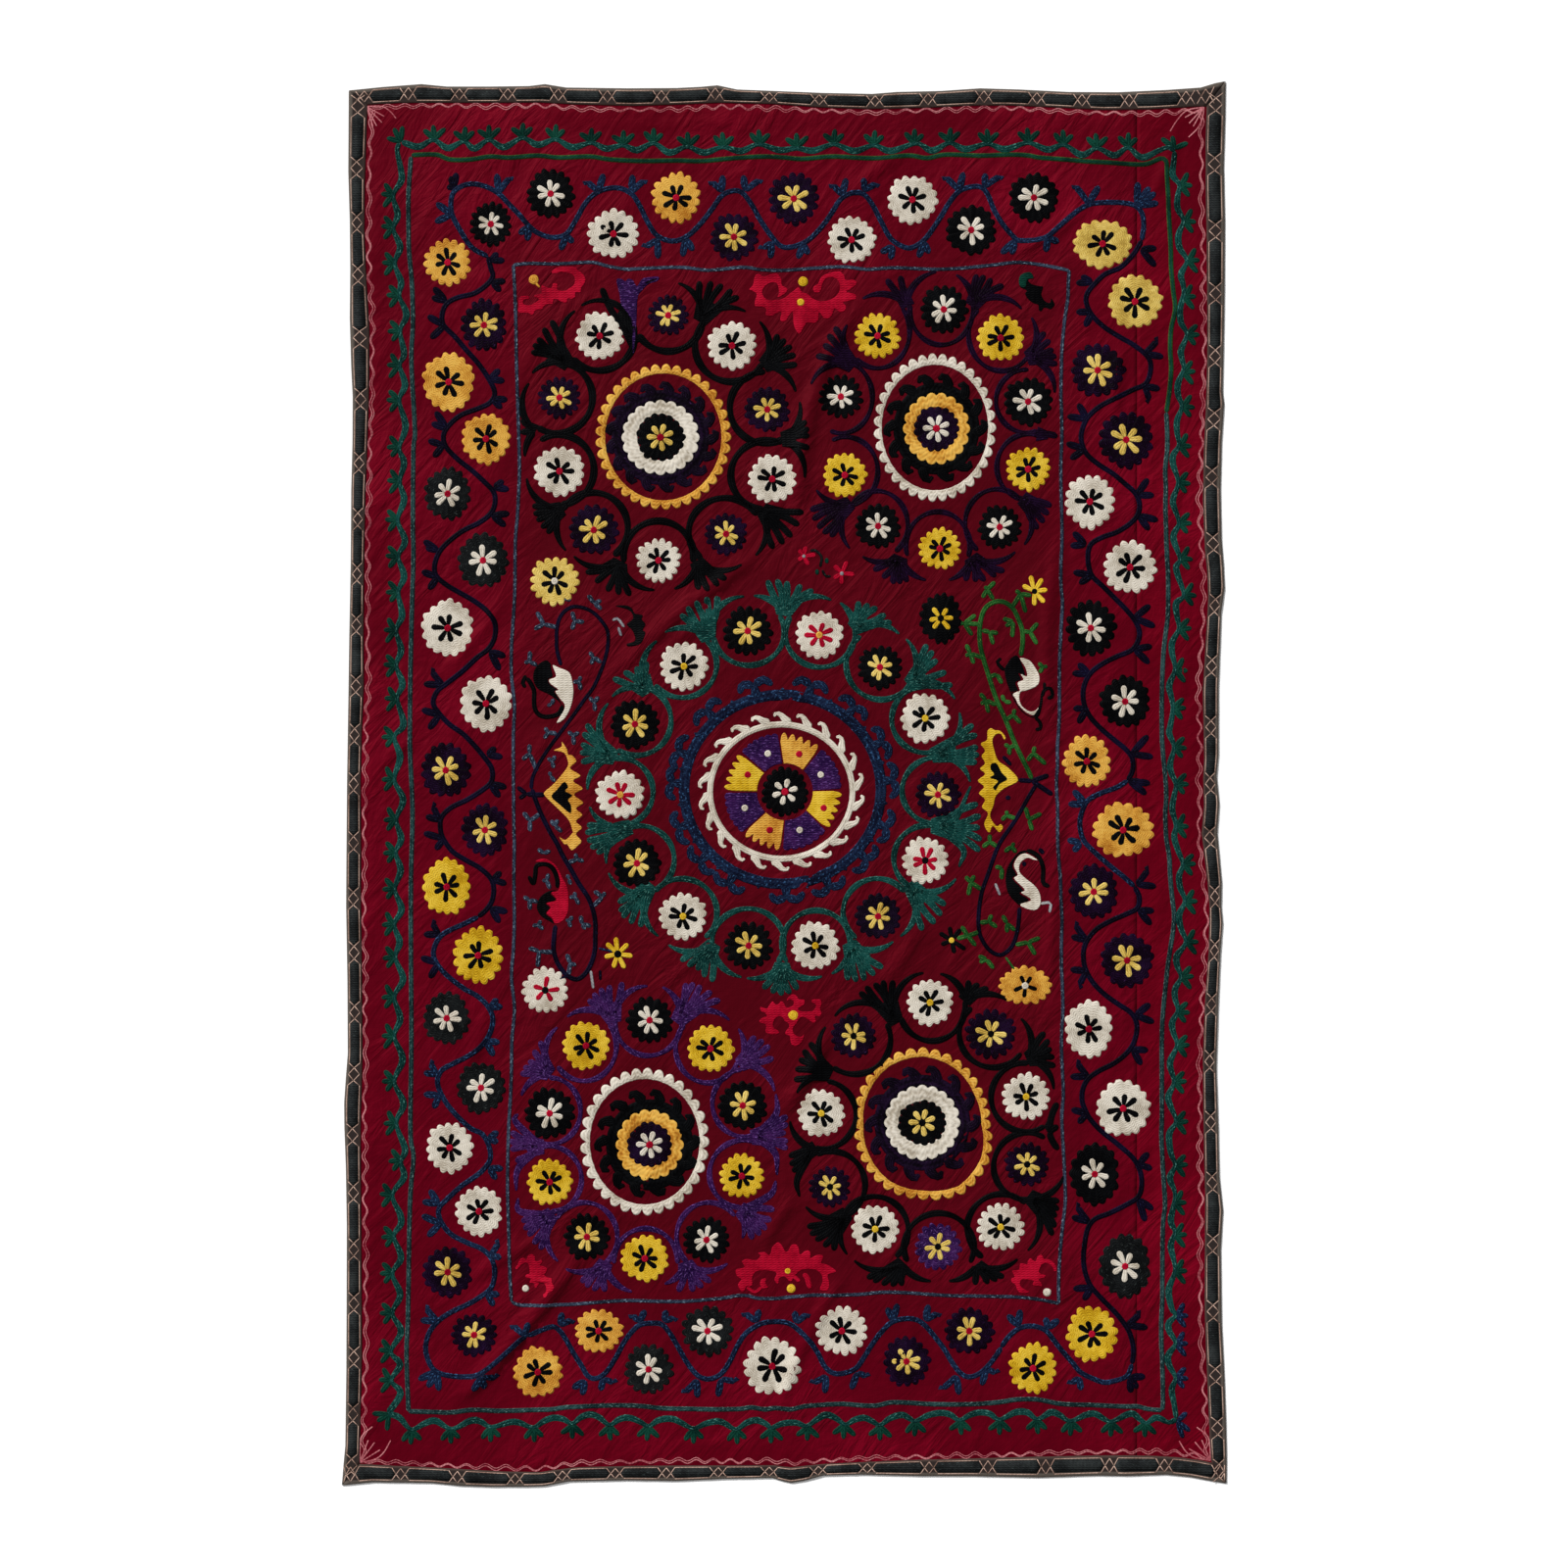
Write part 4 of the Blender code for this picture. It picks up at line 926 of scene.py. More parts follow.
# the meander between the border rosettes, each length with its silk
MEANDER = [
    ("blue", """498,262 481.5,252.5 469,234 461,217.5 461,201 467,192.5 479.5,188 494,190 508,197
    518.5,207.5 531,220.5 540,231 549,238 563.5,242.5 578,239 588,224 597.5,207.5 608.5,197 621,192.5
    633.5,192.5 645.5,199 654,212.5 660,225 668,238 677.5,244.5 689.5,246 701.5,241 713.5,230 725.5,215
    736.5,200 747.5,195 757,196.5 767,209 776,225 787,241 797,251.5 809,252 825,245 839,231 849,217
    857.5,204 868.5,197.5 880.5,198 889.5,208 898.5,225 908.5,243 920.5,251.5 930,253 942,246 952,233.5
    961,219.5 970,205 979,195 990.5,191 1000.5,191 1007.5,198 1014.5,215 1023.5,229.5 1033,240.5 1039,245.5
    1055,245.5 1060,244.5 1069,241.5 1081.5,230.5 1095.5,218.5 1109.5,209.5 1123.5,207 1144,207 1158,210
    1165,217.5 1167,229.5 1165,245.5"""),
    ("navy", """1165,245.5 1158,257.5 1149,268 1141.5,274 1127.5,280 1117.5,289 1110.5,297.5 1108,305.5
    1110.5,315.5 1116.5,324.5 1127.5,334.5 1141.5,343.5 1155.5,351.5 1167.5,360.5 1173.5,369 1173.5,381
    1168.5,392 1155.5,398 1139.5,406 1123.5,414 1111.5,424 1106,433 1103,445 1105,456.5 1110.5,465.5
    1121.5,474.5 1135.5,483.5 1147.5,493.5 1157.5,502.5 1162.5,512.5 1161.5,524 1153.5,534 1139.5,543
    1125.5,548 1114.5,554 1110.5,562 1110.5,576 1114.5,588 1125.5,598.5 1137.5,610.5 1148.5,621.5
    1157.5,632.5 1162.5,643.5 1161.5,653.5 1154.5,663.5 1139.5,670 1125.5,677 1113.5,686 1107,697 1105,709
    1107,721 1113.5,733 1125.5,745.5 1137.5,755.5 1149.5,765.5 1155.5,774.5 1155.5,786.5 1150.5,796.5"""),
    ("blue", """1150.5,796.5 1139.5,803.5 1125.5,808.5 1111.5,815.5 1106,823 1102,836 1102.5,848 1106,858
    1112,865 1121.5,874 1135.5,886 1147.5,895.5 1157.5,904.5"""),
    ("navy", """1157.5,904.5 1162.5,915.5 1160.5,926.5 1149.5,932.5 1133.5,939.5 1119.5,947.5 1110.5,957.5
    1106,967.5 1105.5,979 1108,990 1115.5,1003 1127.5,1015 1141.5,1025 1153.5,1033 1159.5,1043 1159.5,1054.5
    1155.5,1066.5 1147.5,1076.5 1135.5,1085.5 1121.5,1092.5 1110.5,1100.5 1105,1110.5 1104,1122.5 1107,1132
    1112.5,1142 1123.5,1154 1141,1168 1155.5,1181 1162.5,1192.5 1165,1207 1161.5,1221 1148.5,1229.5
    1131.5,1238 1117.5,1243.5 1110.5,1252 1107,1266 1105.5,1283 1107,1297 1112.5,1311.5 1124.5,1325.5
    1136.5,1337.5 1146,1349 1153,1361 1156.5,1377 1155,1391.5"""),
    ("blue", """1155,1391.5 1151,1401 1144,1406.5 1128.5,1410.5 1117.5,1407.5 1103,1400.5 1094,1390
    1083,1377.5 1073.5,1365 1065.5,1356.5 1053,1353 1040.5,1355 1029.5,1363.5 1021.5,1374.5"""),
    ("navy", """498,262 501,274 503,282 497,290.5 484,299.5 468,303.5 456.5,309.5 451.5,319.5 452.5,331.5
    464,343.5 476,357.5 488,371 499,387 505,401 500,411 488,417 470,424 457.5,435 452.5,445 455.5,456.5
    468,469.5 482,480.5 495,492.5 504,502.5 505,514.5 500,525 488,534 472,542 456.5,554 447.5,565 443.5,578
    445.5,588 456.5,597.5 472,606.5 484,613.5 497,623.5 505,635.5 505,649.5 499,661.5 487,671 472,685
    456.5,697 446.5,705 442,717 447.5,727 458.5,739 472,748.5 484,760.5 494,772.5 502,784.5 501.5,797.5
    492,806.5 476,816.5 460.5,824 450.5,834 449.5,846 452.5,856 462,869 476,878 490,886 501,896.5 504,907.5
    502,919.5 496,928.5 488,935.5"""),
    ("blue", """488,935.5 474,942.5 460.5,948.5 450.5,954.5 444.5,963.5 442.5,975 448.5,987 460.5,999
    474,1009 488,1017 498,1027 503,1039 500,1054.5 491,1067.5 478,1077.5 462,1085.5 450.5,1092.5
    446.5,1104.5 452.5,1120.5 464,1136 480,1151 492,1157 499,1169 500.5,1181 497,1189 487.5,1198.5
    470.5,1210.5 457.5,1222.5 448,1233 449.5,1245 460,1259 478,1268.5 492,1274.5 502.5,1285 505,1299.5
    501.5,1313.5 492,1322 478,1330.5 461,1338.5 447,1348 437.5,1361 434.5,1377.5 440,1394 449.5,1401.5
    466,1404.5 482.5,1404 492,1400 506,1389.5 520.5,1376.5 533.5,1365 540,1362.5 551.5,1357.5 563.5,1353.5
    570,1356.5 576.5,1365 585,1380 593.5,1393.5 600,1404 608.5,1406.5 618.5,1400 628.5,1385 636.5,1370
    645,1358.5 653.5,1351.5 665,1350 675,1351 683.5,1360 691.5,1373.5 700,1388.5 708.5,1400 716.5,1406
    726.5,1406.5 736.5,1401 745,1388.5 751.5,1375 760,1361.5 770,1354 780,1349.5 795,1348.5 806.5,1351
    816.5,1358.5 826.5,1368.5 835,1381.5 841.5,1394 850,1401 861.5,1401 873.5,1396 881.5,1385 890,1371.5
    898.5,1360 910,1349 923.5,1345.5 935,1346.5 944,1352.5 953.5,1363.5 963.5,1376.5 971.5,1390 980,1401
    989,1405 1000,1401 1010,1391.5 1018.5,1380 1021.5,1374.5"""),
]
# the meander's little leaves: a base on the line and the tips of its lobes; c marks a tip that curls
MEANDER_LEAVES = [
    ("navy", "463,192 456,191 460,180 466,176.5"),
    ("blue", """1110.5,208 1097.5,189c 1121.5,190; 1160,210 1161,186 1173,191 1179,197 1182,207.5; 509,197
    507,177.5 520,180.5c; 461,219 445.5,207.5 444,227; 540,231 529.5,239 538,246; 578,240 585,248 572,255.5;
    610.5,196 598.5,184.5c 616,177.5; 644.5,197 645.5,178.5 657,183.5c; 671,244 658,253c 671.5,264;
    699.5,243 696.5,262 707.5,256; 736.5,196 726.5,185c 737.5,179; 760.5,195 758.5,179 775,183c; 788,247
    777,255c 786,264; 820,249 814,264 825,260; 859.5,200 849.5,188c 863.5,182; 881.5,195 881.5,182
    894.5,187c; 911.5,251 898.5,258 908.5,265; 943,247 937,263 948,259; 978.5,195 965,180c 983,176;
    1004.5,191 1005.5,177 1020.5,179c; 1036,245.5 1021.5,259 1032,260; 1069,242.5 1080.5,247.5
    1067,257.5"""),
    ("navy", """1164,254.5 1180,253.5 1179,272; 501,266 508,258 515,266; 502,288 516,287 511,297.5;
    455.5,307.5 442.5,293.5 440.5,303.5; 453.5,332.5 436.5,322.5 439.5,345.5; 500,387 510,377 515,389;
    502,407 518,408 512,417; 456.5,438 444.5,420 440.5,432; 452.5,454.5 437,449.5 442.5,466.5; 504,497.5
    514,490.5 519.5,499.5; 502,526 520,524 516,537; 447.5,562 432.5,552 434.5,559; 446.5,589.5 430.5,583
    437.5,601.5; 500,664.5 516,670 510,684; 452.5,699 439.5,685c 432.5,698; 448.5,730 430.5,724 437.5,744;
    497,770.5 506,762.5 513,772.5; 500,799.5 517,803.5 510,813.5; 449.5,837 440.5,821.5c 434.5,833; 453,856
    432.5,850 444.5,867; 503,897.5 511.5,889.5 517,902; 501,926.5 518,930.5 510,941.5; 448.5,953.5
    440.5,941.5c 432.5,953.5; 447.5,983 429.5,977 438.5,998"""),
    ("blue", """500,1028 508,1019 513,1027; 496,1062.5 510,1063.5 504,1077.5; 446.5,1096.5 438.5,1084.5c
    432.5,1094.5; 448.5,1117.5 432.5,1116.5 442.5,1131; 498,1162 508.5,1154.5 508.5,1165.5; 499,1191.5
    513.5,1192.5 506.5,1203.5; 448,1228.5 438.5,1214 431,1226; 449.5,1248.5 430.5,1240 436.5,1261.5;
    500.5,1280.5 510,1267.5c 512,1283; 497,1319.5 510,1321 504,1332.5; 447,1348 434,1335c 429,1347; 446,1399
    427,1407.5 436.5,1415.5 448,1419; 492,1404 482.5,1419 494.5,1417 507.5,1406c; 535,1362 524,1351.5c
    540,1348.5"""),
    ("navy", """1114.5,288 1103,282 1098,289; 1114.5,318.5 1098,318.5 1107,333.5; 1167.5,361 1182,347.5c
    1187,364.5; 1167.5,394 1183.5,397 1173.5,409c; 1109.5,428 1089,425 1100,412; 1107,458.5 1088,452.5
    1092,468.5; 1159.5,505.5 1171.5,488.5 1177.5,505.5; 1161.5,526 1181.5,531 1172.5,541; 1108,556 1095,543
    1092,557; 1114.5,587 1095,584 1101,595.5; 1157.5,630.5 1173.5,617.5 1178.5,639.5; 1157.5,662.5
    1175.5,659.5 1172.5,677; 1111.5,688 1094,687 1100,677; 1109,723 1095,723 1100,738; 1154.5,769.5
    1171.5,750.5 1176.5,772.5; 1151.5,796.5 1173.5,799.5 1169.5,810.5"""),
    ("blue", "1108,820.5 1095,806.5 1090,820.5; 1103,860 1089,857 1095,869"),
    ("navy", """1159.5,902.5 1172.5,887c 1179.5,904.5; 1161.5,928.5 1177.5,929.5 1174.5,943.5; 1109,959.5
    1096,943.5c 1093,955.5; 1109,991 1092,989 1100,1006c; 1158.5,1036 1173.5,1024 1177.5,1043; 1155.5,1070.5
    1171.5,1071.5 1164.5,1086.5; 1110.5,1098.5 1098,1084.5c 1092,1098.5; 1109.5,1136 1093,1132 1100,1146;
    1161.5,1188 1172,1176 1175.5,1192.5; 1161.5,1223.5 1176.5,1234 1168.5,1246; 1111.5,1247 1097.5,1230.5c
    1093.5,1241.5; 1114,1313.5 1095,1315 1105.5,1326.5; 1149.5,1352 1164,1340.5c 1171,1354.5; 1152.5,1404
    1168.5,1404.5 1160,1416 1153.5,1421"""),
    ("blue", """1101,1405 1092,1412.5c 1103,1418.5; 571,1352.5 574,1339 584,1346c; 597.5,1408.5 584,1416.5
    594,1423.5; 616,1406.5 612.5,1419 627.5,1411.5c; 652.5,1349 645,1341c 658.5,1336.5; 677.5,1348.5
    680,1336.5 689,1343.5c; 711.5,1407.5 699,1421.5c 711.5,1426; 736,1406.5 732.5,1425 751.5,1410c;
    771.5,1349 760,1339c 775,1336; 812.5,1350 811,1337.5 823.5,1340c; 843.5,1403.5 829,1412c 841.5,1421.5;
    875,1400 868.5,1417.5 885,1405c; 911,1347.5 905,1334 916,1330; 944,1347.5 947.5,1331 957.5,1339c;
    976,1403.5 961.5,1418c 978.5,1423; 1006.5,1396.5 1001.5,1413.5 1017.5,1401.5c; 1039,1353 1028,1341.5
    1041,1336; 1069,1355.5 1067,1344 1080.5,1346"""),
]
# rosettes: x, y, rx, ry and the kind
BORDER_ROSETTES = """562,198,24.5,25.5,K 501,229,21.5,23,K 626,239,26.5,25,W 690,202,25,26,G
    749,242,24.5,24.5,P 810,203,26,27,P 869,245,24.5,24,W 931,204,25.5,25,W 991,235,26,25.5,K
    1055,202,25.5,25.5,K 1125,249,30,25,T 457,268,24,24,G 494,332,23.5,27,P 458,390,26.5,30,G
    496,448,25,26,G 457,504,24,27,D 493,572,26,28,D 457,641,26.5,29,W 496,718,26.5,28.5,W 455,786,25.5,28,P
    495,847,24,27,P 456,905,24.5,29,Y 488,975,25.5,29,Y 456,1039,24,27,D 491,1110,25,26.5,D 459,1171,24,26,W
    489,1236,24,25.5,W 457,1298,25.5,26,P 484,1362,23.5,22,P 1158,308,27.5,27.5,T 1120,378,27.5,27.5,P
    1149,449,28,29,P 1112,512,25.5,27.5,W 1153,579,27,27,W 1113,641,26,29,K 1148,716,26,26.5,K
    1109,777,24.5,27,G 1146,847,31,28,G 1116,910,25,28,P 1150,980,27,28,P 1111,1050,24.5,29.5,W
    1146,1131,27.5,29,W 1117,1198,25.5,32,K 1148,1292,26.5,33,D 549,1400,25,26,G 611,1358,24.5,22.5,G
    662,1397,25,26,D 722,1358,26.5,26,D 788,1394,29,29.5,W 859,1358,26.5,25,W 925,1389,24,26,P
    989,1358,25.5,24,P 1054,1396,24.5,26,Y 1114,1361,26,28.5,Y"""


def sew_vine(side):
    """The wavy vine: a line about 5.5 units wide that swells in its bends, and a leaf at each crest."""
    line = places(VINE[side])
    i = 1 if side in ("left", "right") else 0
    outward = -1 if side in ("top", "left") else 1
    bend = np.abs(np.gradient(np.gradient(line[:, 1 - i])))
    away = outward * (line[:, 1 - i] - np.convolve(line[:, 1 - i], [1 / 3] * 3, "same"))
    away[0] = away[-1] = 0
    wide = np.clip(6.0 - 0.45 * away + 0.06 * bend, 4.6, 7.6)
    sew_line(thread("vine", "teal"), np.column_stack([line, wide]))
    for along in VINE_LEAVES[side]:
        across = np.interp(along, line[:, i], line[:, 1 - i])
        shade = "blue" if side == "right" and along > 1330 else "leaf"
        spread, tall = (10.5, (11, 15.5)) if i == 0 else (11.5, (9.5, 13.0))
        for sign in (-1, 0, 1):
            wobble = 1.2 * np.sin(along * 1.7 + sign * 2)
            a = along + sign * spread + wobble
            o = across + outward * (tall[1] if sign == 0 else tall[0] + wobble)
            mid_a, mid_o = along + sign * spread * 0.42, across + outward * tall[0] * 0.5
            path = [(along, across + outward * 1.0, 5.0), (mid_a, mid_o, 6.6), (a, o, 4.8)]
            if i:
                path = [(q, p, w) for p, q, w in path]
            sew_line(thread("vine_leaves", shade), path, step=4)


def sew_leaf(shade, base, tips, group, width=7.4):
    """Lobes from one base, each swelling towards a rounded tip; a curled tip turns back in a small hook."""
    base = np.array(base, dtype=float)
    for tip, curls in tips:
        tip = np.array(tip, dtype=float)
        ahead = tip - base
        size = max(np.hypot(*ahead), 1e-6)
        ahead = ahead / size
        aside = np.array([-ahead[1], ahead[0]])
        if curls:
            others = [np.array(t) for t, _ in tips if t != tuple(tip.tolist())]
            toward = np.mean(others, axis=0) - base if others else aside
            aside = -aside if np.dot(aside, toward) > 0 else aside
            path = [(*base, width * 0.8), (*(base + ahead * size * 0.6), width * 0.95),
                    (*(tip + aside * 1.5), width * 0.9), (*(tip + aside * 4.0 - ahead * 2.6), width * 0.7)]
        else:
            path = [(*base, width * 0.8), (*(base + ahead * size * 0.55), width * 1.1), (*tip, width * 0.85)]
        sew_line(thread(group, shade), path, step=4)


for side in VINE:
    sew_vine(side)
for base, tips, shade in CORNER_LEAVES:
    sew_leaf(shade, base, [(t, False) for t in tips], "vine_leaves", 5.5)
for shade, text in GUARD:
    line = places(text)
    sew_line(thread("guard_line", "moss" if shade == "green" else shade), line, 5.0)
    if shade == "green":
        sew_line(thread("guard_middle", "leaf"), line, 2.0, base=0.4 * MM, height=0.5 * MM)
for text in FRAME_LINES:
    sew_line(thread("frame_line", "slate"), places(text), 3.8)
for shade, text in MEANDER:
    sew_line(thread("meander", shade), places(text), 5.6)
for shade, text in MEANDER_LEAVES:
    for leaf in text.split(";"):
        marks = leaf.split()
        points = [tuple(float(n) for n in m.rstrip("c").split(",")) for m in marks]
        sew_leaf(shade, points[0], [(p, m.endswith("c")) for p, m in zip(points[1:], marks[1:])], "meander")
for row in BORDER_ROSETTES.split():
    *size, kind = row.split(",")
    sew_rosette(*map(float, size), *KINDS[kind])

# ------------------------------------------------------------------ the two side panels and the red motifs
sew_rosette(566, 593, 25, 25, "straw", "black", "white", "panel_rosettes")
sew_rosette(556.5, 1010.4, 23.5, 23.5, "white", "red", "black", "panel_rosettes", count=5)
sew_rosette(960, 631, 22, 26, "black", "yellow", "black", "panel_rosettes", count=6)
sew_rosette(1046, 1005.7, 27, 20, "gold", "black", "white", "panel_rosettes", count=5)
# lines: the shade, the width, and the path
PANEL_LINES = [
    ("navy", 4.2, """572.5,679 568.5,664 568,653 568.5,640 572,629 578.5,622 586.5,619 597.5,621 606.5,626
    614.5,634.5 620,644 620.5,657.5 617.5,672 612.5,686.5 605.5,701.5 596,714.5 586.5,728 574.5,744
    562.5,760 552,776 544,792 542,805"""),
    ("navy", 5.2, """543,805 545,812 552,830 562,850 568,860 574,872.5 582,886 591,902 600,915.5 605,928
    607.5,941.5 607.5,956 607,970 603.5,982.5 598,992.5 590,999 582,997.5 575,991.5 568.5,981.5 565,969
    565.5,956 567,944"""),
    ("navy", 5.5, "537,810 545,811 556,811"), ("navy", 5, "537,810 528,803"), ("navy", 5, "537,810 530,815"),
    ("black", 5, """574,720 571,727.7 563.5,730.8 555.8,731.5 549.6,729 545.8,723 545,713.8 545,704.6
    540.4,695.4 537,692"""),
    ("black", 4.5, "536.5,689 533.5,697 536.5,701.5"),
    ("black", 5, """544.2,903 545,900 546.5,890.8 547.3,883.8 553.5,881.5 560.4,883 565.8,889 568.8,898.5
    568.8,906"""),
    ("black", 4.5, "544.2,903 539.6,893.8"),
    ("navy", 3, "578.8,995.4 565,1002.3"), ("silver", 3, "603,990.5 605.5,1008.5"),
    ("navy", 3, "612.5,990 612.5,1000"), ("blue", 2.6, "611,967.7 625,970.8"),
    ("silver", 3, "625,633 630.5,631.5 637,640"), ("silver", 3, "631,640 634,649"),
    ("green", 5, """1041.5,669.5 1043.5,656.5 1043,643 1039,631.5 1033.5,621 1024.5,614.5 1014.5,614.5
    1005.5,620.5 1001,631.5 999.5,646 1000.5,660.5 1004,674 1008.5,688.5 1013.5,704.5 1018.5,718 1024.5,731
    1030.5,745.5 1036.5,760.5 1043.5,775 1049.5,787 1053,795"""),
    ("black", 4, "1024.8,684 1018.8,678.4 1018,673.9 1021.8,672.3"),
    ("black", 4, "1063,711 1065.5,704 1071.5,702.5 1073.8,710 1068.5,713"),
    ("black", 3.4, "1065.5,704 1065.5,696.4"),
    ("black", 4, "1056,732 1061,737 1061.7,743.1 1056.4,744.6"),
    ("navy", 5, "1039,796 1053,797"), ("navy", 5.5, "1053,797 1070,791"), ("navy", 5.5, "1053,797 1074,811"),
    ("navy", 4.6, """1057,801 1049,814 1041,828.5 1033,841.3 1022,857.3 1017,867 1012.3,879.7 1007.5,894
    1002.7,907 1000.3,918 998.7,931 998.4,944 1000.3,955 1006.7,966.3 1014,972.7 1022,974.3 1030,968.7
    1034.7,961.5 1038,950 1039.5,939 1040.4,926"""),
    ("black", 5, "1070.8,904.6 1064.4,900.6 1064.4,886 1060.4,875 1054,870 1047.6,867.7"),
    ("silver", 3, "1062,922 1071.6,921.4 1070.8,931"), ("silver", 3, "1015.5,901.4 1020.3,913.4"),
    ("navy", 5, "1060,866 1065,871"), ("navy", 5, "1045,879 1045,884"), ("navy", 6, "1026,814 1031,814"),
    ("green", 2.6, "1026,976.7 1038.8,994.3"), ("navy", 4.5, "1023.3,771.7 1031.6,780.8"),
    ("grey", 3, "826.7,562.3 830.8,561.3 835.9,564.9 838.5,569 837.9,573.6 836.9,578.7"),
    ("grey", 3, "839,581.8 842.6,588 847.7,588"), ("leaf", 4.5, "843.6,569.5 843.6,575"),
    ("leaf", 4.5, "833.8,581 833.8,586.5"), ("gold", 2.4, "546,288 550.8,293.4"),
]
# filled shapes: the shade and the outline
PANEL_PATCHES = [
    ("gold", """573.5,757 578.8,764.6 580,770 584,770.8 588.4,777 582,784 592.7,791.5 585,797 595,804.6
    586,811 595.5,819 588,825 594.5,831.5 588,838 594,844.6 588,851 593.5,858 590,863 583.5,867.7 579,862
    575.8,861.5 570.7,853.8 577,857 584.2,850 584.2,847.7 580.4,837 570,826 556.2,812.3 556.2,807.7 566,799
    578.8,783 579,775 575,768 565.3,765.8 573,762"""),
    ("black", """562.7,678.5 558,673.8 550.4,677 545,684.6 544.2,693.8 548.8,703 560.4,709 569.6,715.4
    574.2,721.5 571,713.8 565.8,705.4 568.8,703.8 561,698 559.6,693 564,690 562,680"""),
    ("white", """564,679 567.5,690 560.6,693.5 562,698 569.8,703.8 566.8,705.8 572,713.8 576,718.5
    575.5,724.6 568,737.7 575.8,733.8 582,723 585,710.8 585,700 582.7,689 578.8,684.6 571,681.5"""),
    ("red", """548,877.7 555.8,876 564,880 569.6,886 574,895.4 578.8,904.6 580.4,917 579.6,930.8 574,940
    566.5,942.3 563.5,937 558,932 562,926 558,921.5 568,918.5 562.7,910.8 569.6,908.5 571.4,898.5 567,886
    558.8,880.2 548,879.5"""),
    ("black", """567.3,908.6 560.4,909 552.7,913.8 548.8,920 548,927.7 552.7,935.4 560.4,940 565.5,942.5
    562.5,937 557,932 561,926 557,921.5 567,918 561.7,911.5"""),
    ("black", """628,618.5 638.8,617.7 645,620.8 648,626 655.8,627.7 655,632 658.8,637 656,643 658.8,646
    654,657 642,660 639.6,657 648,653.8 646.5,646 643.5,641.5 639.6,637 646,631 642,623"""),
    ("black", """1038.4,669.3 1032.3,670.8 1027.8,676.9 1024.8,682.9 1026.3,693.4 1029.3,702.5 1032.3,710
    1036.9,719 1044.4,728 1053.4,732.6 1060,731 1063.2,720.5 1064,711.5 1062,707 1060.8,716 1059,722.5
    1053.5,730.5 1046,727.5 1038.8,719.5 1036,714 1032.6,708.3 1036.9,705.3 1039,704.3 1036.2,696.4
    1041.9,693.4 1039.2,687 1045.5,689.2 1044.2,681.4"""),
    ("white", """1040.6,671.6 1050.4,673.9 1056.4,681.4 1060.2,688.9 1060.2,696.4 1056.4,701 1047.4,704.7
    1041.4,706.2 1040.2,713 1042.9,720.5 1050.4,725.8 1056.4,725 1059.5,722 1057,727.5 1054.2,730 1046.9,727
    1039.4,719.5 1036.4,713.5 1033.5,708.8 1037.4,706 1040.6,704.7 1038.4,696.8 1044.2,693.6 1041.6,688
    1048,690 1046.2,681.4"""),
    ("yellow", """1011.3,743.1 1007.5,746 1007,755 1000.7,759 1005,766 1001.5,771.7 1005,779 1000,784.5
    1005,790 997.7,796.6 1004,803 998.8,809.6 1005,816 1001.9,823.7 1008,830 1004.3,840 1006.5,847
    1010,849.5 1013,843 1019.5,849.3 1023.5,844.5 1021,841 1017,843 1011.5,836 1010.7,830 1013.9,822
    1016.3,812.4 1025,804.4 1039,796.3 1029.3,783.8 1018.8,776.3 1014.3,764.2 1012.8,755.2 1015.8,750
    1021,749 1024.8,755.2 1026,752 1021,746 1015,745"""),
    ("black", """1047.6,867.7 1039.6,869.3 1033,876.5 1028.3,884.6 1026,894 1026.7,905.4 1030.7,915
    1039.6,923.8 1041,922.2 1050,918.2 1040.5,911.5 1044,908 1033.2,896.6 1037.2,892.6 1033.2,883 1039,872.8
    1047,870"""),
    ("white", """1058.5,877.3 1047.6,871 1039.6,873.3 1034.5,883 1038.5,892.6 1034.8,896.6 1045.5,907.8
    1042,911 1052.2,918.2 1042,922.2 1043,925.4 1054.8,929 1061,924.6 1062,916.6 1059.6,908.6 1054,902
    1046,895.8 1040.4,889.4 1041,881.3 1047.6,875.7 1055,877.5"""),
    ("black", """1041.5,281.2 1045.4,279.2 1050.8,278.1 1055,283.5 1049.2,283.8 1050,287.7 1053.8,290.4
    1060,291.9 1064.2,292.7 1063.1,297.7 1062.7,300.8 1064.6,305.4 1068.5,308.8 1071.5,308.5 1072.7,304.6
    1076.2,310.4 1074.2,314.2 1071.5,315.8 1065.4,314.2 1062.7,317.7 1060,316.9 1059.2,311.5 1055,310
    1051.9,308.1 1048.5,305 1045.8,300 1047.3,296.5 1041.5,293.8 1040,290 1041.5,286.9 1043.8,286.5
    1043.1,283.5"""),
]
# what is sewn over a filled shape
HEARTS = [
    ("black", """575.8,797.7 580,803 577,807 584.2,811.5 580,816 583,822 582,830 572,822 562.7,813
    568,806"""),
    ("black", """1011.3,779.3 1017,779 1022,788 1027.8,795 1020,800 1015.8,806.4 1013,803 1018,797
    1009.8,793.6 1014,790 1010.5,785"""),
]
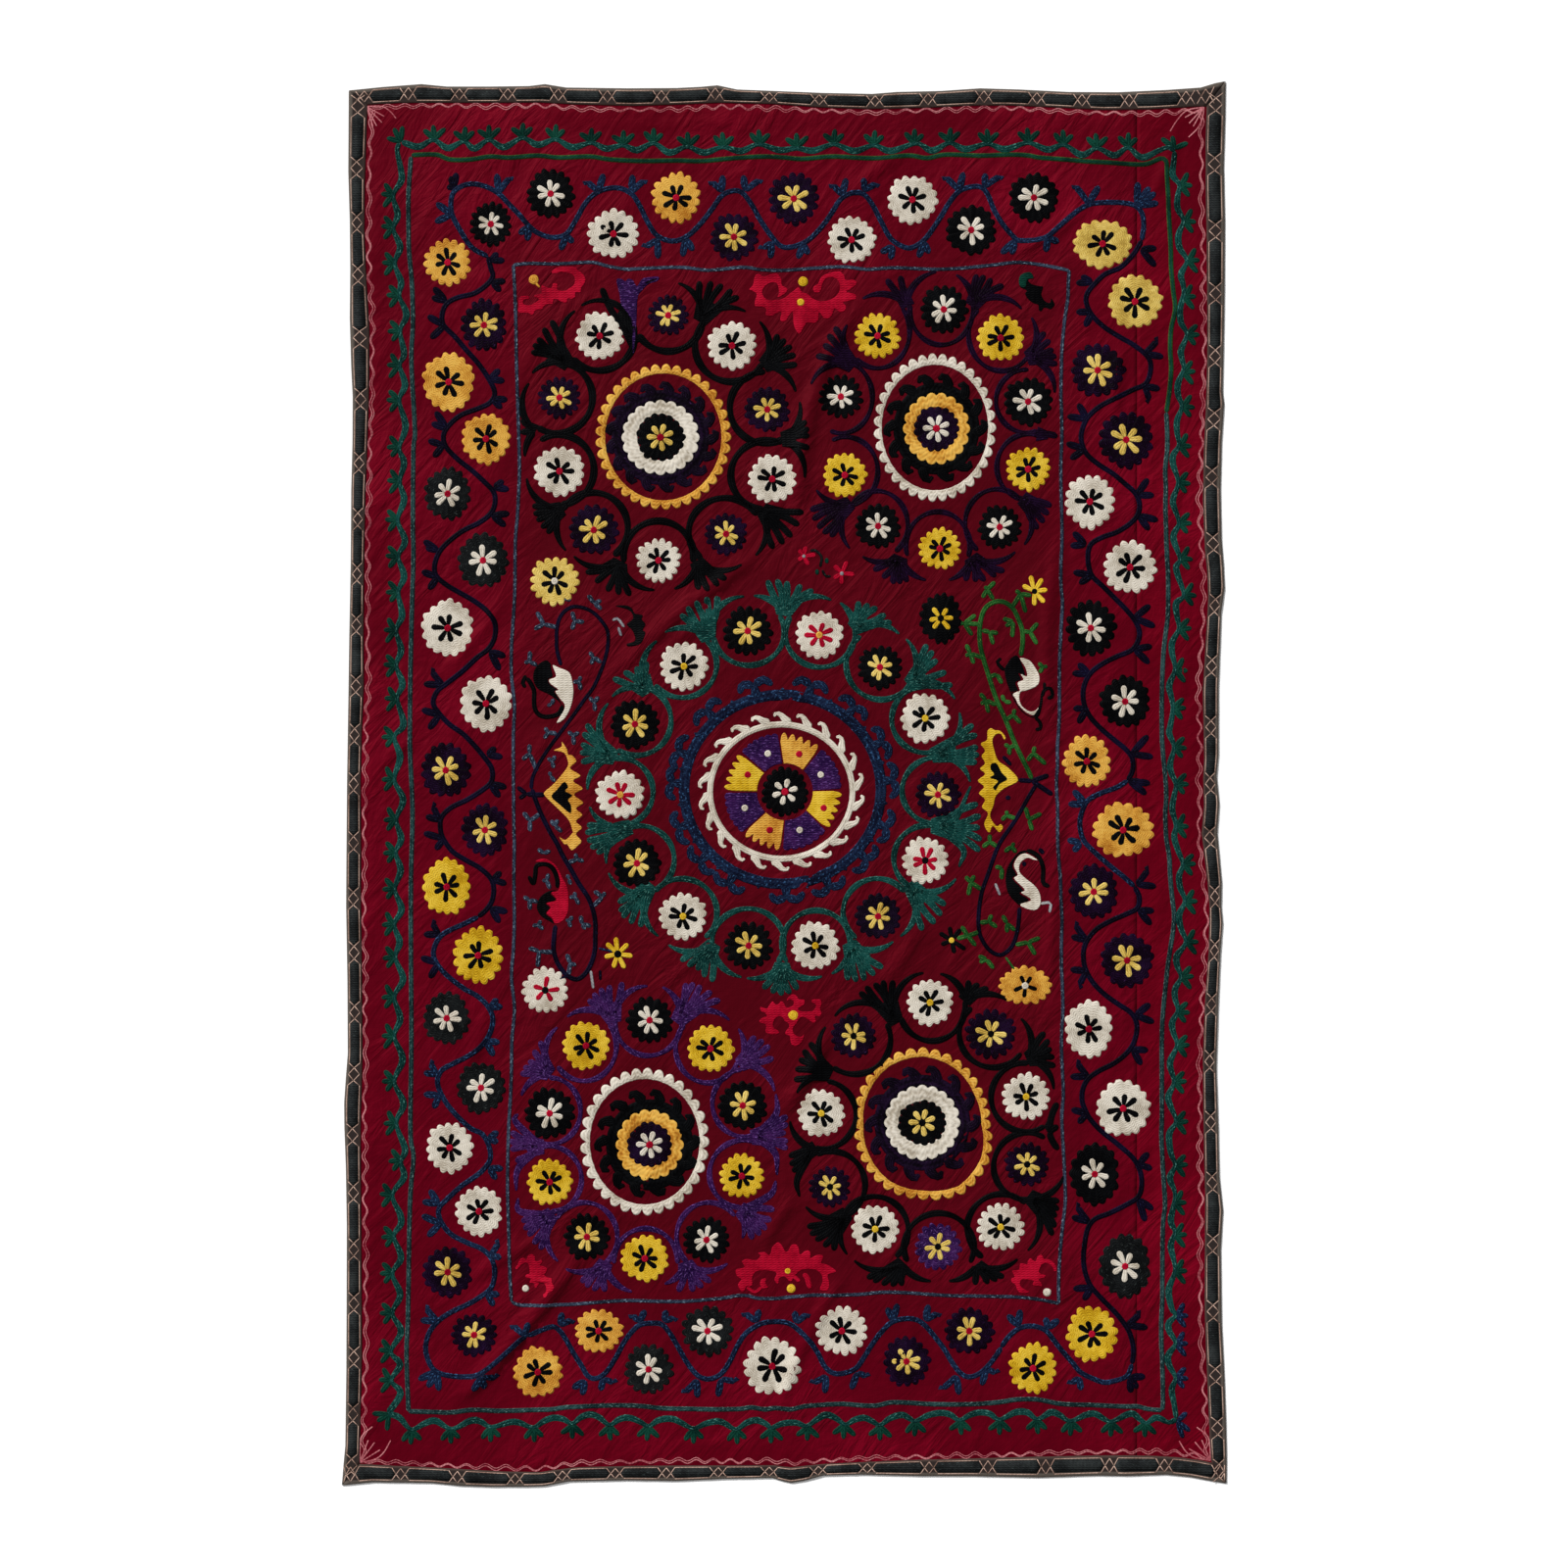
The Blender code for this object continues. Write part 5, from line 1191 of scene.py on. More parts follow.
# small sprigs: a centre and its tips
BLUE_SPRIGS = """577,611.5 570.5,613 582,612; 606.5,616 601,608.5 612.7,613 613,621; 555,637 548.8,626
    546.5,641.5 567.3,640; 586.5,634 584.2,625.4 595,634.6 584.2,641.5; 605.8,670.8 602,666 603.5,677
    612.7,675.4; 540.4,675.4 541,666 535.8,676 547.3,678.5; 591,695.4 585.8,696 592.7,690.8 592.7,703;
    562.7,719 559,720 565,713.8; 606.5,717 602,712.3 610.4,711.5 607.3,724.6; 559.6,747.7 556.5,743
    555.8,753 567.3,748.5; 585,750.8 580.4,747 590.4,747.7 585.8,759; 540.4,769 540.4,760.8 534.2,774.6
    547.3,784.6; 563.5,777 559.6,774 566.5,772 565,783; 562,792 561,788 565.8,797; 541,837.7 535,830 541,847
    550.4,830.8; 566.5,843 562.7,837.7 568.8,837 572.7,848; 555,870.8 549.6,867 561,868.5; 588.8,877
    587.3,871.5 595,878.5 581,880; 558,898.5 554,898.5 559.6,892.3 561,906; 581,897 579,893 582,902;
    587.3,915.4 582,915.4 586.5,910.8 590.4,922; 540.4,918.5 535,915.4 541,927 548,920; 615,915.4 607.3,910
    617.3,910.8 606.5,923.8; 581,940 578,938.5 584,935.5 582,945.4; 594,943 592.7,935.4 602,944.6 597,947.7;
    548.8,943.8 544.2,944.6 552,940 554,947.7; 550.4,970.8 541,967.7 562.7,971.5 548.8,984.6; 582,983
    578.8,974.6 587.3,984.6 580.4,993.8"""
GREEN_SPRIGS = """1007.5,601.6 1003,609 1005,598.6 1014.3,594.8 1012.8,610.6; 1041.4,606 1036.9,603
    1033.9,618 1051,607.6 1045.9,622.7; 984,636.3 969.9,635.5 998.5,637 994,628.7 991,646.8; 1033.9,634.7
    1024.8,631.7 1027,638.5 1033,648.3; 1010,645 1003,643.7 1017.3,646 1013,656; 1051,645 1045,644.5
    1058,637 1057.2,655.8; 990.2,667 986.4,658.8 985.7,669.3 993.2,676 1001.5,670.8; 1064,681 1060,677
    1068,680 1061,686; 1017.3,688 1011.3,690.4 1021.8,696.4; 1006,714.5 1000.7,708.5 1001.5,718.3
    1008.3,725.8 1015,719; 1024.8,716 1022.6,710 1030.8,716.8; 1033.9,729.6 1035.4,724.3 1040.6,737
    1027.8,734; 1030,762.7 1025.6,759.7 1030,769.5 1036.9,760.5; 1054.2,768.7 1055.7,762.7 1065.5,778.5
    1048.9,775.5; 1027,832 1022.7,836.5 1027.5,827.7 1037,835.7; 1050,836.5 1046.8,825.3 1061,830.9
    1053,846; 1010,859 1010,852.5 1003.5,863.7 1017,863.7; 1032.3,863.7 1026,868.5 1034.7,860.5
    1036.3,869.3; 1022.7,886 1016.3,884.6 1022,895.8; 990.7,900.6 985.9,895 993.9,894.2 988.3,911.8
    1000.3,907; 1009,940.6 1001,941.4 1011.5,934.2 1016.3,945.4; 1027.5,942.2 1023.5,935 1027.5,950.3
    1034.7,948.7; 1049,961.5 1038,963.9 1059.6,957.5 1055.6,972.7; 1006.7,979 999.5,975.9 1000.3,981.5
    1013,987; 987.5,955 998.7,951 977.9,957.5 981.9,946.3 994.7,963.9"""
# loose flowers: the petals' shade, the heart's shade and radius, the centre and the petals' tips
FLOWERS = [
    ("yellow", "black", 4,
     "630.5,973.5 628.5,956.5 619,962.5 641,963 645.5,975.5 637.5,988 626,987.5 617,976.5"),
    ("yellow", "black", 3,
     "1055.5,603.5 1051.5,587.5 1063.5,590.5 1068.5,602 1065.5,615 1055.5,618 1043.5,597.5"),
    ("black", "yellow", 3, "971,959.5 969,945.5 958.6,951.9 960.2,963.9 973.8,972.7 985,968.7 980.3,947.9"),
    ("red", "silver", 1.8, "820.3,567.7 815.4,561 822.6,557.7 832.3,566.4 825.1,576.7 814.9,572"),
    ("red", "silver", 2, "859,585.4 851.3,577.2 864.6,573.1 871.8,586.4 859,596.2 850.8,590.5"),
]
# the red motifs: filled bodies, then curling arms as lines whose third number is the width
RED_BODIES = [
    """764.5,295.6 768.4,290.7 770.3,282 774.5,279.4 778.8,282 785.6,280.3 792.3,279 797.3,284.5 798,291
    803.4,294.4 802.8,298 798.5,301.7 793.6,303.6 794.8,298 793,290 786.8,288.8 780.7,292.5 778,298
    780,303.6 785.6,306.6 791.7,306.2 797,305.5 801.5,303.4 805.5,300 810,296.8 815,293.1 818.7,298
    824.9,300.5 828.5,304.2 836,307.4 843.3,307 850,304.5 854.5,300.5 856.8,295.6 856,288.2 850.6,283.5
    843.3,284.4 839.6,289.5 837.7,296.8 833.5,299.3 829.8,296.8 830.4,292.5 834.7,289.5 838.4,282.5
    847,278.4 856.8,277.2 861.7,281.5 863,285.8 871.5,285.8 874.6,289.5 867.8,295.6 864,298 872.7,300.5
    873.3,305.4 866.6,307.2 860.5,309 863.5,312.8 861.7,317.7 856.8,318.9 851.9,315.2 849.4,321.4 845.7,325
    840.8,325 835.9,318.9 835.3,326.3 831,330 823.6,330 820,334.9 815.7,341 811.4,336 809.5,328.7
    808.9,318.9 805.2,322.6 802.8,326.9 799,328.7 796,326.3 797.3,318.9 793,320 786.8,323.2 781.3,321.4
    781.9,316.5 779.5,314 770.9,312.8 770.3,307.9 772,300.5 768.4,297.4""",
    """563.5,279 563.5,276.5 568.6,273.3 575.9,272.2 586.8,272.5 589.7,275.8 594.8,279.5 597.7,284.5
    597,288.9 593.4,294 592.6,298.4 587.5,299 587.2,303.5 583.2,305.3 579.5,304.9 578.8,308.5 576.6,309.6
    571.5,307.5 567.9,305.6 565,306.4 563.9,310.4 557,311.5 552.6,316.2 546.8,316.9 544.3,321.3 541.4,321.3
    538.8,319.5 530.8,319.5 528.6,317.3 529.4,312.9 529,307 531.5,302.7 538,302 540.3,303.5 539.5,305.5
    535.5,306 533.9,308.5 535.5,311 541,311.6 546.5,308.6 550,305.6 546,303.5 545.4,301.3 551.9,299.8
    552.6,297.6 553,291 557.7,293.3 562.8,294 564.3,289.6 568.6,289.6 569,293.3 569.5,296.2 575.9,296.9
    580.3,294.7 585.4,291 586.8,286 585.4,281.6 580.3,279 572.3,278 568.6,279""",
    """756.4,1317.7 753,1311.7 754.2,1308.5 756.4,1305 752,1302 751,1295.4 759.6,1293 757,1287 761.8,1284.5
    771.6,1285.5 776,1281 773.3,1278.5 780.4,1277.4 784.7,1280.6 787,1276.8 788,1272.5 793.5,1267.5
    797.8,1270.3 801.6,1276.8 804.4,1275.7 807.6,1270.3 812.5,1269.7 815.3,1273.5 816.4,1280 820.7,1276.8
    825,1275.7 827.3,1278.5 827.3,1283.4 832.7,1280.6 839.3,1280.6 839.8,1284.5 838.2,1288.8 844.7,1290.5
    853.5,1297 846.9,1299.7 844.7,1302 846.4,1309.5 844.7,1316 840.4,1317.2 836.5,1315 839.3,1307.4
    838.2,1300.8 833.8,1296.5 827.3,1294.8 820.7,1295.3 815.3,1297.5 811,1302 807.6,1307.4 804.4,1306.3
    801,1303 795.6,1304 794.5,1309.5 792.4,1309.5 790.2,1305.2 792.4,1299.7 788,1297 776,1296.5 770.5,1298.6
    767.8,1304 767.8,1310.6 765,1313 761.8,1312.8 759.6,1317.2""",
    "777,1314 775.5,1309 777.5,1305 782,1304.5 781.5,1309 784,1313.5 780,1315",
    """776,1027.5 782.5,1029 784.7,1026 788.4,1021.7 791.3,1024.6 794,1024.6 797,1021.7 800,1023.2
    802.2,1027.5 806,1027.5 809.5,1025 809.5,1021.5 806,1020 803.3,1021 803.6,1018.5 808.7,1014.5 813,1016
    815.3,1019.5 821,1020.3 820.4,1025.4 816.7,1027.5 814.5,1029.7 818.2,1032 825.5,1032 829.8,1031.2
    832.7,1026 829,1023.2 828.4,1020.3 833.5,1019.5 837.8,1020.3 838.5,1024.6 837,1029 838.5,1034 836.4,1037
    832,1037 832.7,1042.8 829,1043.5 824,1040 819,1037.7 815.3,1040 813,1044.3 809.5,1048.6 810.2,1054.5
    814.5,1057.4 818.2,1057.4 820.4,1055.2 820.4,1058 818.2,1063.2 813,1067.5 808,1066 806.5,1061.7
    805.8,1057.4 801.5,1055.2 802.2,1051.5 805,1048 804.4,1044.3 800.7,1042 799.3,1039.2 795.6,1037
    791.3,1039.2 789,1044.3 789.8,1048.6 795,1052.3 793.5,1055.2 784.7,1055.2 781,1052.3 781.8,1048
    780.4,1045 775.3,1043.5 775.3,1040.6 779.6,1037.7 782.5,1037 780.4,1033.4 776.7,1032""",
    """542.7,1279.6 546,1281.8 546.5,1286.2 548.7,1286.7 552.5,1285 553.6,1287.8 551.5,1291 555.8,1292.2
    558.5,1294.4 557.5,1298.2 555.8,1301 559,1303 563.5,1304.2 563.5,1308 566.2,1312.4 564,1316.7
    560.2,1318.4 558,1322.7 555.3,1323.3 554.2,1320.5 557,1317.8 557.5,1314 555.8,1310.2 552.5,1308.5
    549.8,1310.7 547.6,1314 545.5,1313 545,1309.6 540.5,1308.5 541.6,1304.7 536.2,1303 537.3,1300.4
    540.5,1299.3 540.5,1296 540,1292.2 538.4,1289 535.6,1289 531.8,1291 528,1295 525.8,1293.8 528,1290.5
    530.7,1285 534.5,1283 537.3,1285 539,1281.3""",
    """1062.4,1280.2 1064.5,1282.4 1065.6,1284.5 1071,1285 1075.5,1288.4 1078.2,1292.7 1078.2,1296.5
    1075.5,1297 1074.4,1293.8 1071,1290 1066.7,1289 1063,1290.5 1061.3,1293.8 1060.2,1297.6 1062.4,1299.8
    1066.7,1301 1066.2,1303.6 1062.4,1304.2 1060.2,1305.8 1063,1309.6 1063.5,1313 1060.2,1312.4
    1055.8,1312.4 1053.6,1310.2 1054.7,1307 1049.3,1305.8 1042.7,1305.8 1041,1308.5 1041.6,1312.4
    1046,1315.6 1050.4,1317.8 1045.5,1320 1040.5,1319 1037.3,1315 1036.2,1311.3 1031.8,1307.5 1032.4,1304.2
    1035,1303 1034,1299.8 1033,1296.5 1039.5,1295.5 1040.5,1291 1041.6,1289 1045.5,1289.5 1048.2,1290
    1048.7,1286.7 1051.5,1283.7 1054.7,1286.2 1057,1286.7 1058.5,1282.4""",
]
RED_CURLS = [
    ("762,1313.5 770.5,1318.4 777,1313.5", 3.6), ("809.5,1301 813,1305.5 816.5,1306.5", 4.6),
    ("819.5,1299.8 823.5,1303 825,1309 827,1314.5", 5.6),
]
# dots: the shade, x, y and radius
DOTS = """yellow,819.5,287.5,5 yellow,817,308.5,4 gold,544.8,285.5,5 yellow,803.8,1296.7,3.3
    yellow,807.3,1314.7,4.5 yellow,809.4,1035.8,5.2 white,536.5,1314.5,3.6 white,1068.3,1318.5,4.2"""
SPRIG_REACH = 1.15

for shade, width, text in PANEL_LINES:
    sew_line(thread("panel_lines", shade), places(text), width)
for shade, text in PANEL_PATCHES:
    sew_patch(thread("panel_shapes", shade), places(text))
for shade, text in HEARTS:
    sew_patch(thread("panel_shape_hearts", shade), places(text), base=0.5 * MM)
# a sprig's arms reach a little past the tips, which were read at the middle of their rounded ends
for shade, sprigs in (("slate", BLUE_SPRIGS), ("green", GREEN_SPRIGS)):
    for sprig in sprigs.split(";"):
        (x, y), *tips = places(sprig).tolist()
        for tx, ty in tips:
            path = [(x, y, 4.8), (x + SPRIG_REACH * (tx - x), y + SPRIG_REACH * (ty - y), 5.0)]
            sew_line(thread("sprigs", shade), path, height=0.7 * MM, step=4)
for petals, heart, r, text in FLOWERS:
    (x, y), *tips = places(text).tolist()
    for tx, ty in tips:
        path = [(x, y, 3.5), ((x + tx) / 2, (y + ty) / 2, 5.0), (tx, ty, 5.4)]
        sew_line(thread("loose_flowers", petals), path, step=4)
    sew_disc(thread("loose_flower_hearts", heart), x, y, r, r, base=0.9 * MM, height=0.6 * MM)
for text in RED_BODIES:
    sew_patch(thread("red_motifs", "red"), places(text))
for text, width in RED_CURLS:
    sew_line(thread("red_motifs", "red"), places(text), width)
for row in DOTS.split():
    shade, x, y, r = row.split(",")
    sew_disc(thread("dots", shade), float(x), float(y), float(r), float(r), base=0.7 * MM, height=0.6 * MM)

# ------------------------------------------------------------------ the five medallions
# circles: x, y, rx, ry of the bare ground round each rosette, in order round the medallion; rosettes: x, y,
# r, kind; fans: the root between two circles, its finger tips, and its arms as circle:tip, or
# circle:tip:point passed on the way, each lying round that circle
MEDALLIONS = {
    "upper_left": dict(
        shade="black", band=7.5, middle=(674, 446),
        circles="""611.5,341.5,33,33 682,323,32,32 746,353,33,33 781.5,416,33,33 783.5,485,34,32
    740,543.5,33.5,31.5 672,567.5,32,32 605,538.5,32,32 570.5,479.5,32,32 568.5,406,32.5,32.5""",
        rosettes="""612,343,24.3,W 682,322,21,P 747,353,25,W 783,418,23.4,P 788,489,24.4,W 741,545,21.8,P
    672,572,22.8,W 606,541,25.4,P 571,481,25.7,W 571,406,22,P""",
        fans=[("645,345", "614,294", "1:593,312 2:673,284"),
              ("716,325", "714,287 737,290 754,303", "2:692,289 3:761,318"),
              ("781,372", "793.5,341 808,353 813.5,372", "3:775,328 4:812,400"),
              ("800,448", "823,430 826,445 826,457.5", "4:816,410 5:821,488"),
              ("780,522", "820,523 808,548 789,560", "6:771,567"),
              ("712,575", "741.5,591.5 723,603.5 713,602", "6:757,576 7:688,601"),
              ("632,575", "597.5,584 619.5,603.5 643,608", "8:585.5,567.5 7:668,602"),
              ("572,520", "543,516.5 547.5,531.5 558.5,544.5", "8:577.5,562 9:537.5,488"),
              ("545,440", "532,428 531,441", "10:540,391 9:535.5,466"),
              ("578,370", "562.5,327 548.5,345 542,359.5", "10:543,381 1:587,317")]),
    "upper_right": dict(
        shade="plum", band=5.5, middle=(955, 437),
        circles="""895.5,338.5,30,34.7 960.5,315,29.6,34.4 1022,341.5,31,34.4 1048,409.5,29,29.6
    1048.5,476.5,28.6,30.7 1017.5,534,30,32 957,557,30,32 894.5,535.5,29,31.7 863,481,30,32.3
    858.5,405.5,29,34""",
        rosettes="""895.5,343,23.2,Y 963,316,24.3,K 1021,345,23.8,Y 1049,410,25,K 1049,479,22.6,Y
    1020,538,22.2,K 959,560,21.7,Y 896,537,23.3,K 862,485,22.2,Y 858,405,22.7,K""",
        fans=[("925,310", "904.5,285 918.5,281.5", "1:880,305 2:955.5,277.5"),
              ("993,310", "996.5,280 1011.5,284 1024,291", "2:975.5,280.5 3:1042.5,315.5"),
              ("1050,365", "1066.5,339 1075,356.5 1079,371.5", "3:1052.5,324 4:1076,401"),
              ("1060,443", "1079,445.5", ""),
              ("1045,510", "1073,516.5 1070,525 1059,540", "6:1045,556"),
              ("992,570", "1025,583 1005,593 985,593", "6:1036,563 7:968,592"),
              ("918,570", "891,582 911,596 926,594", "8:880,568 7:945,592"),
              ("865,515", "826.5,520.5 834,539 847.5,548", "8:867,560 9:833,500"),
              ("846,443", "", ""),
              ("868,372", "851.5,333.5 840,351.5 832.5,363", "10:827.5,392.5 1:864.5,331.5")]),
    "centre": dict(
        shade="teal", band=6.0, middle=(799, 806),
        circles="""764,645,33.5,31 837,646.5,32.5,31.5 899,678,32.6,33 945.5,734,32.6,31.4 955.5,807,32,31
    946.5,876,31.5,31 895,930.5,31.7,31 833,964,32,32 763.5,962,34,31.8 696,931,32.6,31.4
    652.5,877,32.6,31.4 632,808,31.5,31.5 649.5,735.5,32.4,32.4 696,678,32.4,31""",
        rosettes="""763,644,25.3,B 836,648,24.3,R 898,681,22.9,B 944,733,24.9,A 957,811,23,P 944,878,23.4,S
    896,935,23.5,V 832,965,24.3,A 764,965,25,B 697,935,24.5,A 650,881,24.5,B 633,811,25,R 648,739,24.9,B
    698,680,24.7,A""",
        fans=[("800,625", "783,592 803,593 830,602", "1:769,608 2:848.5,612.5"),
              ("872,640", "876,613.5 895,619.5 910,635", "2:857,615 3:917.5,647"),
              ("930,697", "946,657.5 956.5,673 972,699", "3:924.5,652 4:974.5,713.5"),
              ("955,770", "993,739 998,762 997,778", "4:979,727 5:990,798"),
              ("955,843", "998,820 1000,844.5 1000,868.5", "5:990.5,802:974,836.5 6:978.5,885:982.5,866"),
              ("930,905", "965,923.5 954,942.5 941,949.5", "6:975.5,896.5 7:918.5,955.5"),
              ("868,965", "901,987.5 882,1000.5 865,1000.5", "7:911.5,960.5 8:848.5,993.5"),
              ("798,985", "797.5,1016 814,1010 778.5,1009", "8:839,996 9:762,998"),
              ("727,965", "694.5,980.5 711,990 726.5,1002", "10:682,964 9:757,997"),
              ("662,905", "630.5,921 635,936.5 653,946", "11:621,890.5 10:672,955.5"),
              ("640,845", "598.8,841.5 598.8,857.7 608.8,870.8", "12:601.5,823 11:618.8,881.5"),
              ("625,772", "598.5,738.5 593,758.8 593,778", "13:620.8,717.5 12:599.5,806"),
              ("660,705", "625.5,692 649.5,680 660,675", "13:624.5,711 14:670.5,654"),
              ("722,650", "694.5,627 710,613.5 732.5,608", "14:679,645.5 1:759.5,608.5")]),
    "lower_left": dict(
        shade="violet", band=5.5, middle=(660, 1165),
        circles="""596,1067.5,30.3,32.8 661.5,1042,31.5,32.5 722.5,1069.5,30.3,32.8 760,1125.5,30.3,31.8
    758.5,1198,31.8,31.8 723.5,1262,30.3,32.3 659,1286.5,29.8,30.3 596.5,1262,30.8,32.3 560.5,1203,30.3,30.8
    560.5,1133.5,29.3,31.3""",
        rosettes="""598,1067,24,Y 663,1041,24,K 725,1070,23.6,Y 758,1128,25.3,B 757,1200,22.7,Y
    721,1265,24,K 658,1284,24.6,Y 599,1262,23.5,B 561,1206,23,Y 561,1136,25.6,K""",
        fans=[("626,1040", "600,1020 613,1008 622,1005 635,1002", "1:578.5,1037.5 2:661,1006"),
              ("693,1040", "700,1003 715,1005 735,1020", "2:676,1007 3:744.5,1041"),
              ("757,1085", "770.5,1057 785.5,1066.5 789.5,1079.5", "3:753.5,1049.5 4:790.5,1113.5"),
              ("770,1160", "803.8,1138.7 802,1155.6 803.8,1172",
               "4:791.8,1116:791.8,1137 5:792.9,1199:790.7,1176"),
              ("757,1235", "790.5,1234 782,1254.5 767.5,1264.5", "6:757.5,1263.5 5:791.8,1204.6:786,1219"),
              ("700,1290", "725.5,1308 707,1318 692,1318", "6:742.5,1289 7:678,1310"),
              ("617,1290", "592.5,1308 605.5,1317 617.5,1318", "8:577.5,1294 7:645,1318"),
              ("562,1240", "532,1246 539,1261 551,1275", "8:569.5,1287 9:528.5,1222.5:530.8,1236"),
              ("552,1170", "521.3,1154.7 520.9,1173 525.8,1184.8",
               "10:528.5,1136.3:526.5,1145 9:526.7,1215:529,1192"),
              ("560,1095", "551,1062 539,1082.5 531,1095.5", "10:532,1118 1:569,1048")]),
    "lower_right": dict(
        shade="black", band=6.5, middle=(942, 1146),
        circles="""951,1026,30.7,33 1013.5,1054.5,31.5,31.5 1046.5,1119.5,32,32 1048,1190,31,31
    1022,1253.5,32,32 958,1272.5,32.5,31.5 892,1255.5,31.5,31.5 848.5,1209,31,31 838.5,1137.5,31.8,31.8
    872,1060.5,33.5,32.3""",
        rosettes="""949,1023,23.5,A 1011,1055,26,U 1047,1119,24.6,A 1048,1188,22.9,U 1021,1252,24.3,A
    957,1272,23.6,X 893,1254,24.3,A 847,1211,21.4,U 838,1136,23.8,A 871,1057,23.2,U""",
        fans=[("985,1020", "988,1000 1008.5,1008", "1:959,993.5 2:1028.5,1021"),
              ("1050,1080", "1066,1053 1073,1069.5 1077,1087.5", "2:1041.5,1039 3:1075,1111.5"),
              ("1070,1155", "1079,1125 1080,1173", ""),
              ("1052,1222", "1081,1225.5 1078,1241.5 1074,1260.5", "5:1048.5,1276 4:1086,1199"),
              ("997,1292", "1024.5,1303 1008,1310 995,1311", "5:1038.5,1284.5 6:968,1307"),
              ("920,1290", "884.5,1304 900,1311 920,1312", "7:871.5,1286 6:950,1307"),
              ("862,1240", "823.4,1251.5 832,1265.6 850.5,1276", "8:822,1231 7:864.5,1280"),
              ("830,1172", "804.9,1180 808.5,1195.5", "8:815.8,1221:813.6,1203 9:806,1143.6"),
              ("845,1095", "826,1063.5 815,1080.5 810,1101.5", "9:813,1115 10:842.5,1047.5"),
              ("913,1040", "877,1012 892,1003 911,1000", "1:942.5,992.5 10:851.5,1037")]),
}


def sew_fan(name, root, tips, arms, circles, shade):
    """Fingers from the root to round tips, each bowed a little, thin arms that taper round the circles, and
    the web that fills between them for the first part of their length."""
    rx, ry = places(root)[0]
    if tips:
        tip = places(tips)
        facing = np.arctan2(*(tip.mean(axis=0) - (rx, ry))[::-1])
        turned = np.arctan2(tip[:, 1] - ry, tip[:, 0] - rx) - facing
        tip = tip[np.argsort((turned + np.pi) % (2 * np.pi))]
        between = [(a + b) / 2 * 1.04 - np.array([rx, ry]) * 0.04 for a, b in zip(tip[:-1], tip[1:])
                   if np.hypot(*(b - a)) > 15]
        fingers = np.array([*tip, *between])
        ahead = tip.mean(axis=0) - (rx, ry)
        aside = np.array([-ahead[1], ahead[0]]) / max(np.hypot(*ahead), 1e-6) * 7.5
        web = (tip - (rx, ry)) * 0.52
        web = web[np.argsort(web @ aside)]
        web = np.concatenate([[-0.12 * ahead - aside], [-0.12 * ahead + aside], [web[-1] + aside * 0.55],
                              web[::-1] * 0.94, [web[0] - aside * 0.55]])
        sew_patch(thread(name, shade), web + (rx, ry), height=THREAD_HEIGHT * 0.9, smooth=False)
    for k, (x, y) in enumerate(fingers if tips else []):
        bow = 0.06 * np.sin(2.1 * k + x)
        mx, my = rx + 0.55 * (x - rx) - bow * (y - ry), ry + 0.55 * (y - ry) + bow * (x - rx)
        sew_line(thread(name, shade), [(rx, ry, 7.0), (mx, my, 7.4), (x, y, 7.2)])
    for arm in arms.split():
        circle, tip, *way = arm.split(":")
        cx, cy, cr, _ = circles[int(circle) - 1]
        x, y = places(tip)[0]
        start, end = np.arctan2(ry - cy, rx - cx), np.arctan2(y - cy, x - cx)
        if way:
            line = np.array([(rx, ry), places(way[0])[0], (x, y)])
        else:
            line = arc_points(cx, cy, start, end, max(np.hypot(rx - cx, ry - cy), cr + 2.5),
                              np.hypot(x - cx, y - cy))
        wide = np.interp(np.linspace(0, 1, len(line)), (0, 0.55, 1), (8.5, 7.2, 2.6))
        sew_line(thread(name, shade), np.column_stack([line, wide]))


WREATH_POINTS = 14


def sew_medallion(name, shade, band, middle, circles, rosettes, fans):
    """The wreath of one medallion: a band round the inner side of each circle from root to root, the fans,
    and a rosette in each circle."""
    circles = places(circles)
    roots = np.array([places(fan[0])[0] for fan in fans])
    for i, (cx, cy, rx, ry) in enumerate(circles):
        ends = [np.arctan2((root[1] - cy) / ry, (root[0] - cx) / rx) for root in (roots[i - 1], roots[i])]
        inward = np.arctan2(middle[1] - cy, middle[0] - cx)
        halves = [(end - inward + np.pi) % (2 * np.pi) - np.pi for end in ends]
        angle = inward + np.linspace(halves[0], halves[1], WREATH_POINTS)
        line = np.column_stack([cx + (rx + band / 2) * np.cos(angle), cy + (ry + band / 2) * np.sin(angle)])
        wide = band + 0.9 * np.sin(np.arange(WREATH_POINTS) * 1.3 + i)
        sew_line(thread(name + "_wreath", shade), np.column_stack([line, wide]))
    for root, tips, arms in fans:
        sew_fan(name + "_wreath", root, tips, arms, circles, shade)
    for row in rosettes.split():
        *size, kind = row.split(",")
        x, y, r = map(float, size)
        sew_rosette(x, y, r, r * (1 + 0.03 * np.sin(x)), *KINDS[kind], group="wreath")


for name, facts in MEDALLIONS.items():
    sew_medallion(name, **facts)
# a violet patch where the upper left wreath was mended
sew_patch(thread("mend", "violet"), places("""629,286 634,284.5 638,287 641,284.5 646,286 650,292 655,285
    662,283 672,282.5 671,287 662,290 655,297 651,303 650,318 649,340 647.5,359 644.5,358 645,335 641,322
    634,312 632,300"""))


# a hook as shares of its step round, of its reach out and of its width
UPRIGHT_HOOK = ((-0.22, 0.0, 1.9), (-0.14, 0.5, 1.4), (0.04, 0.94, 1.1), (0.25, 0.98, 0.9), (0.33, 0.66, 0.7))
LEANING_HOOK = ((-0.46, 0.0, 2.2), (-0.20, 0.38, 1.5), (0.0, 0.86, 1.0), (0.20, 1.0, 0.8), (0.30, 0.70, 0.6))


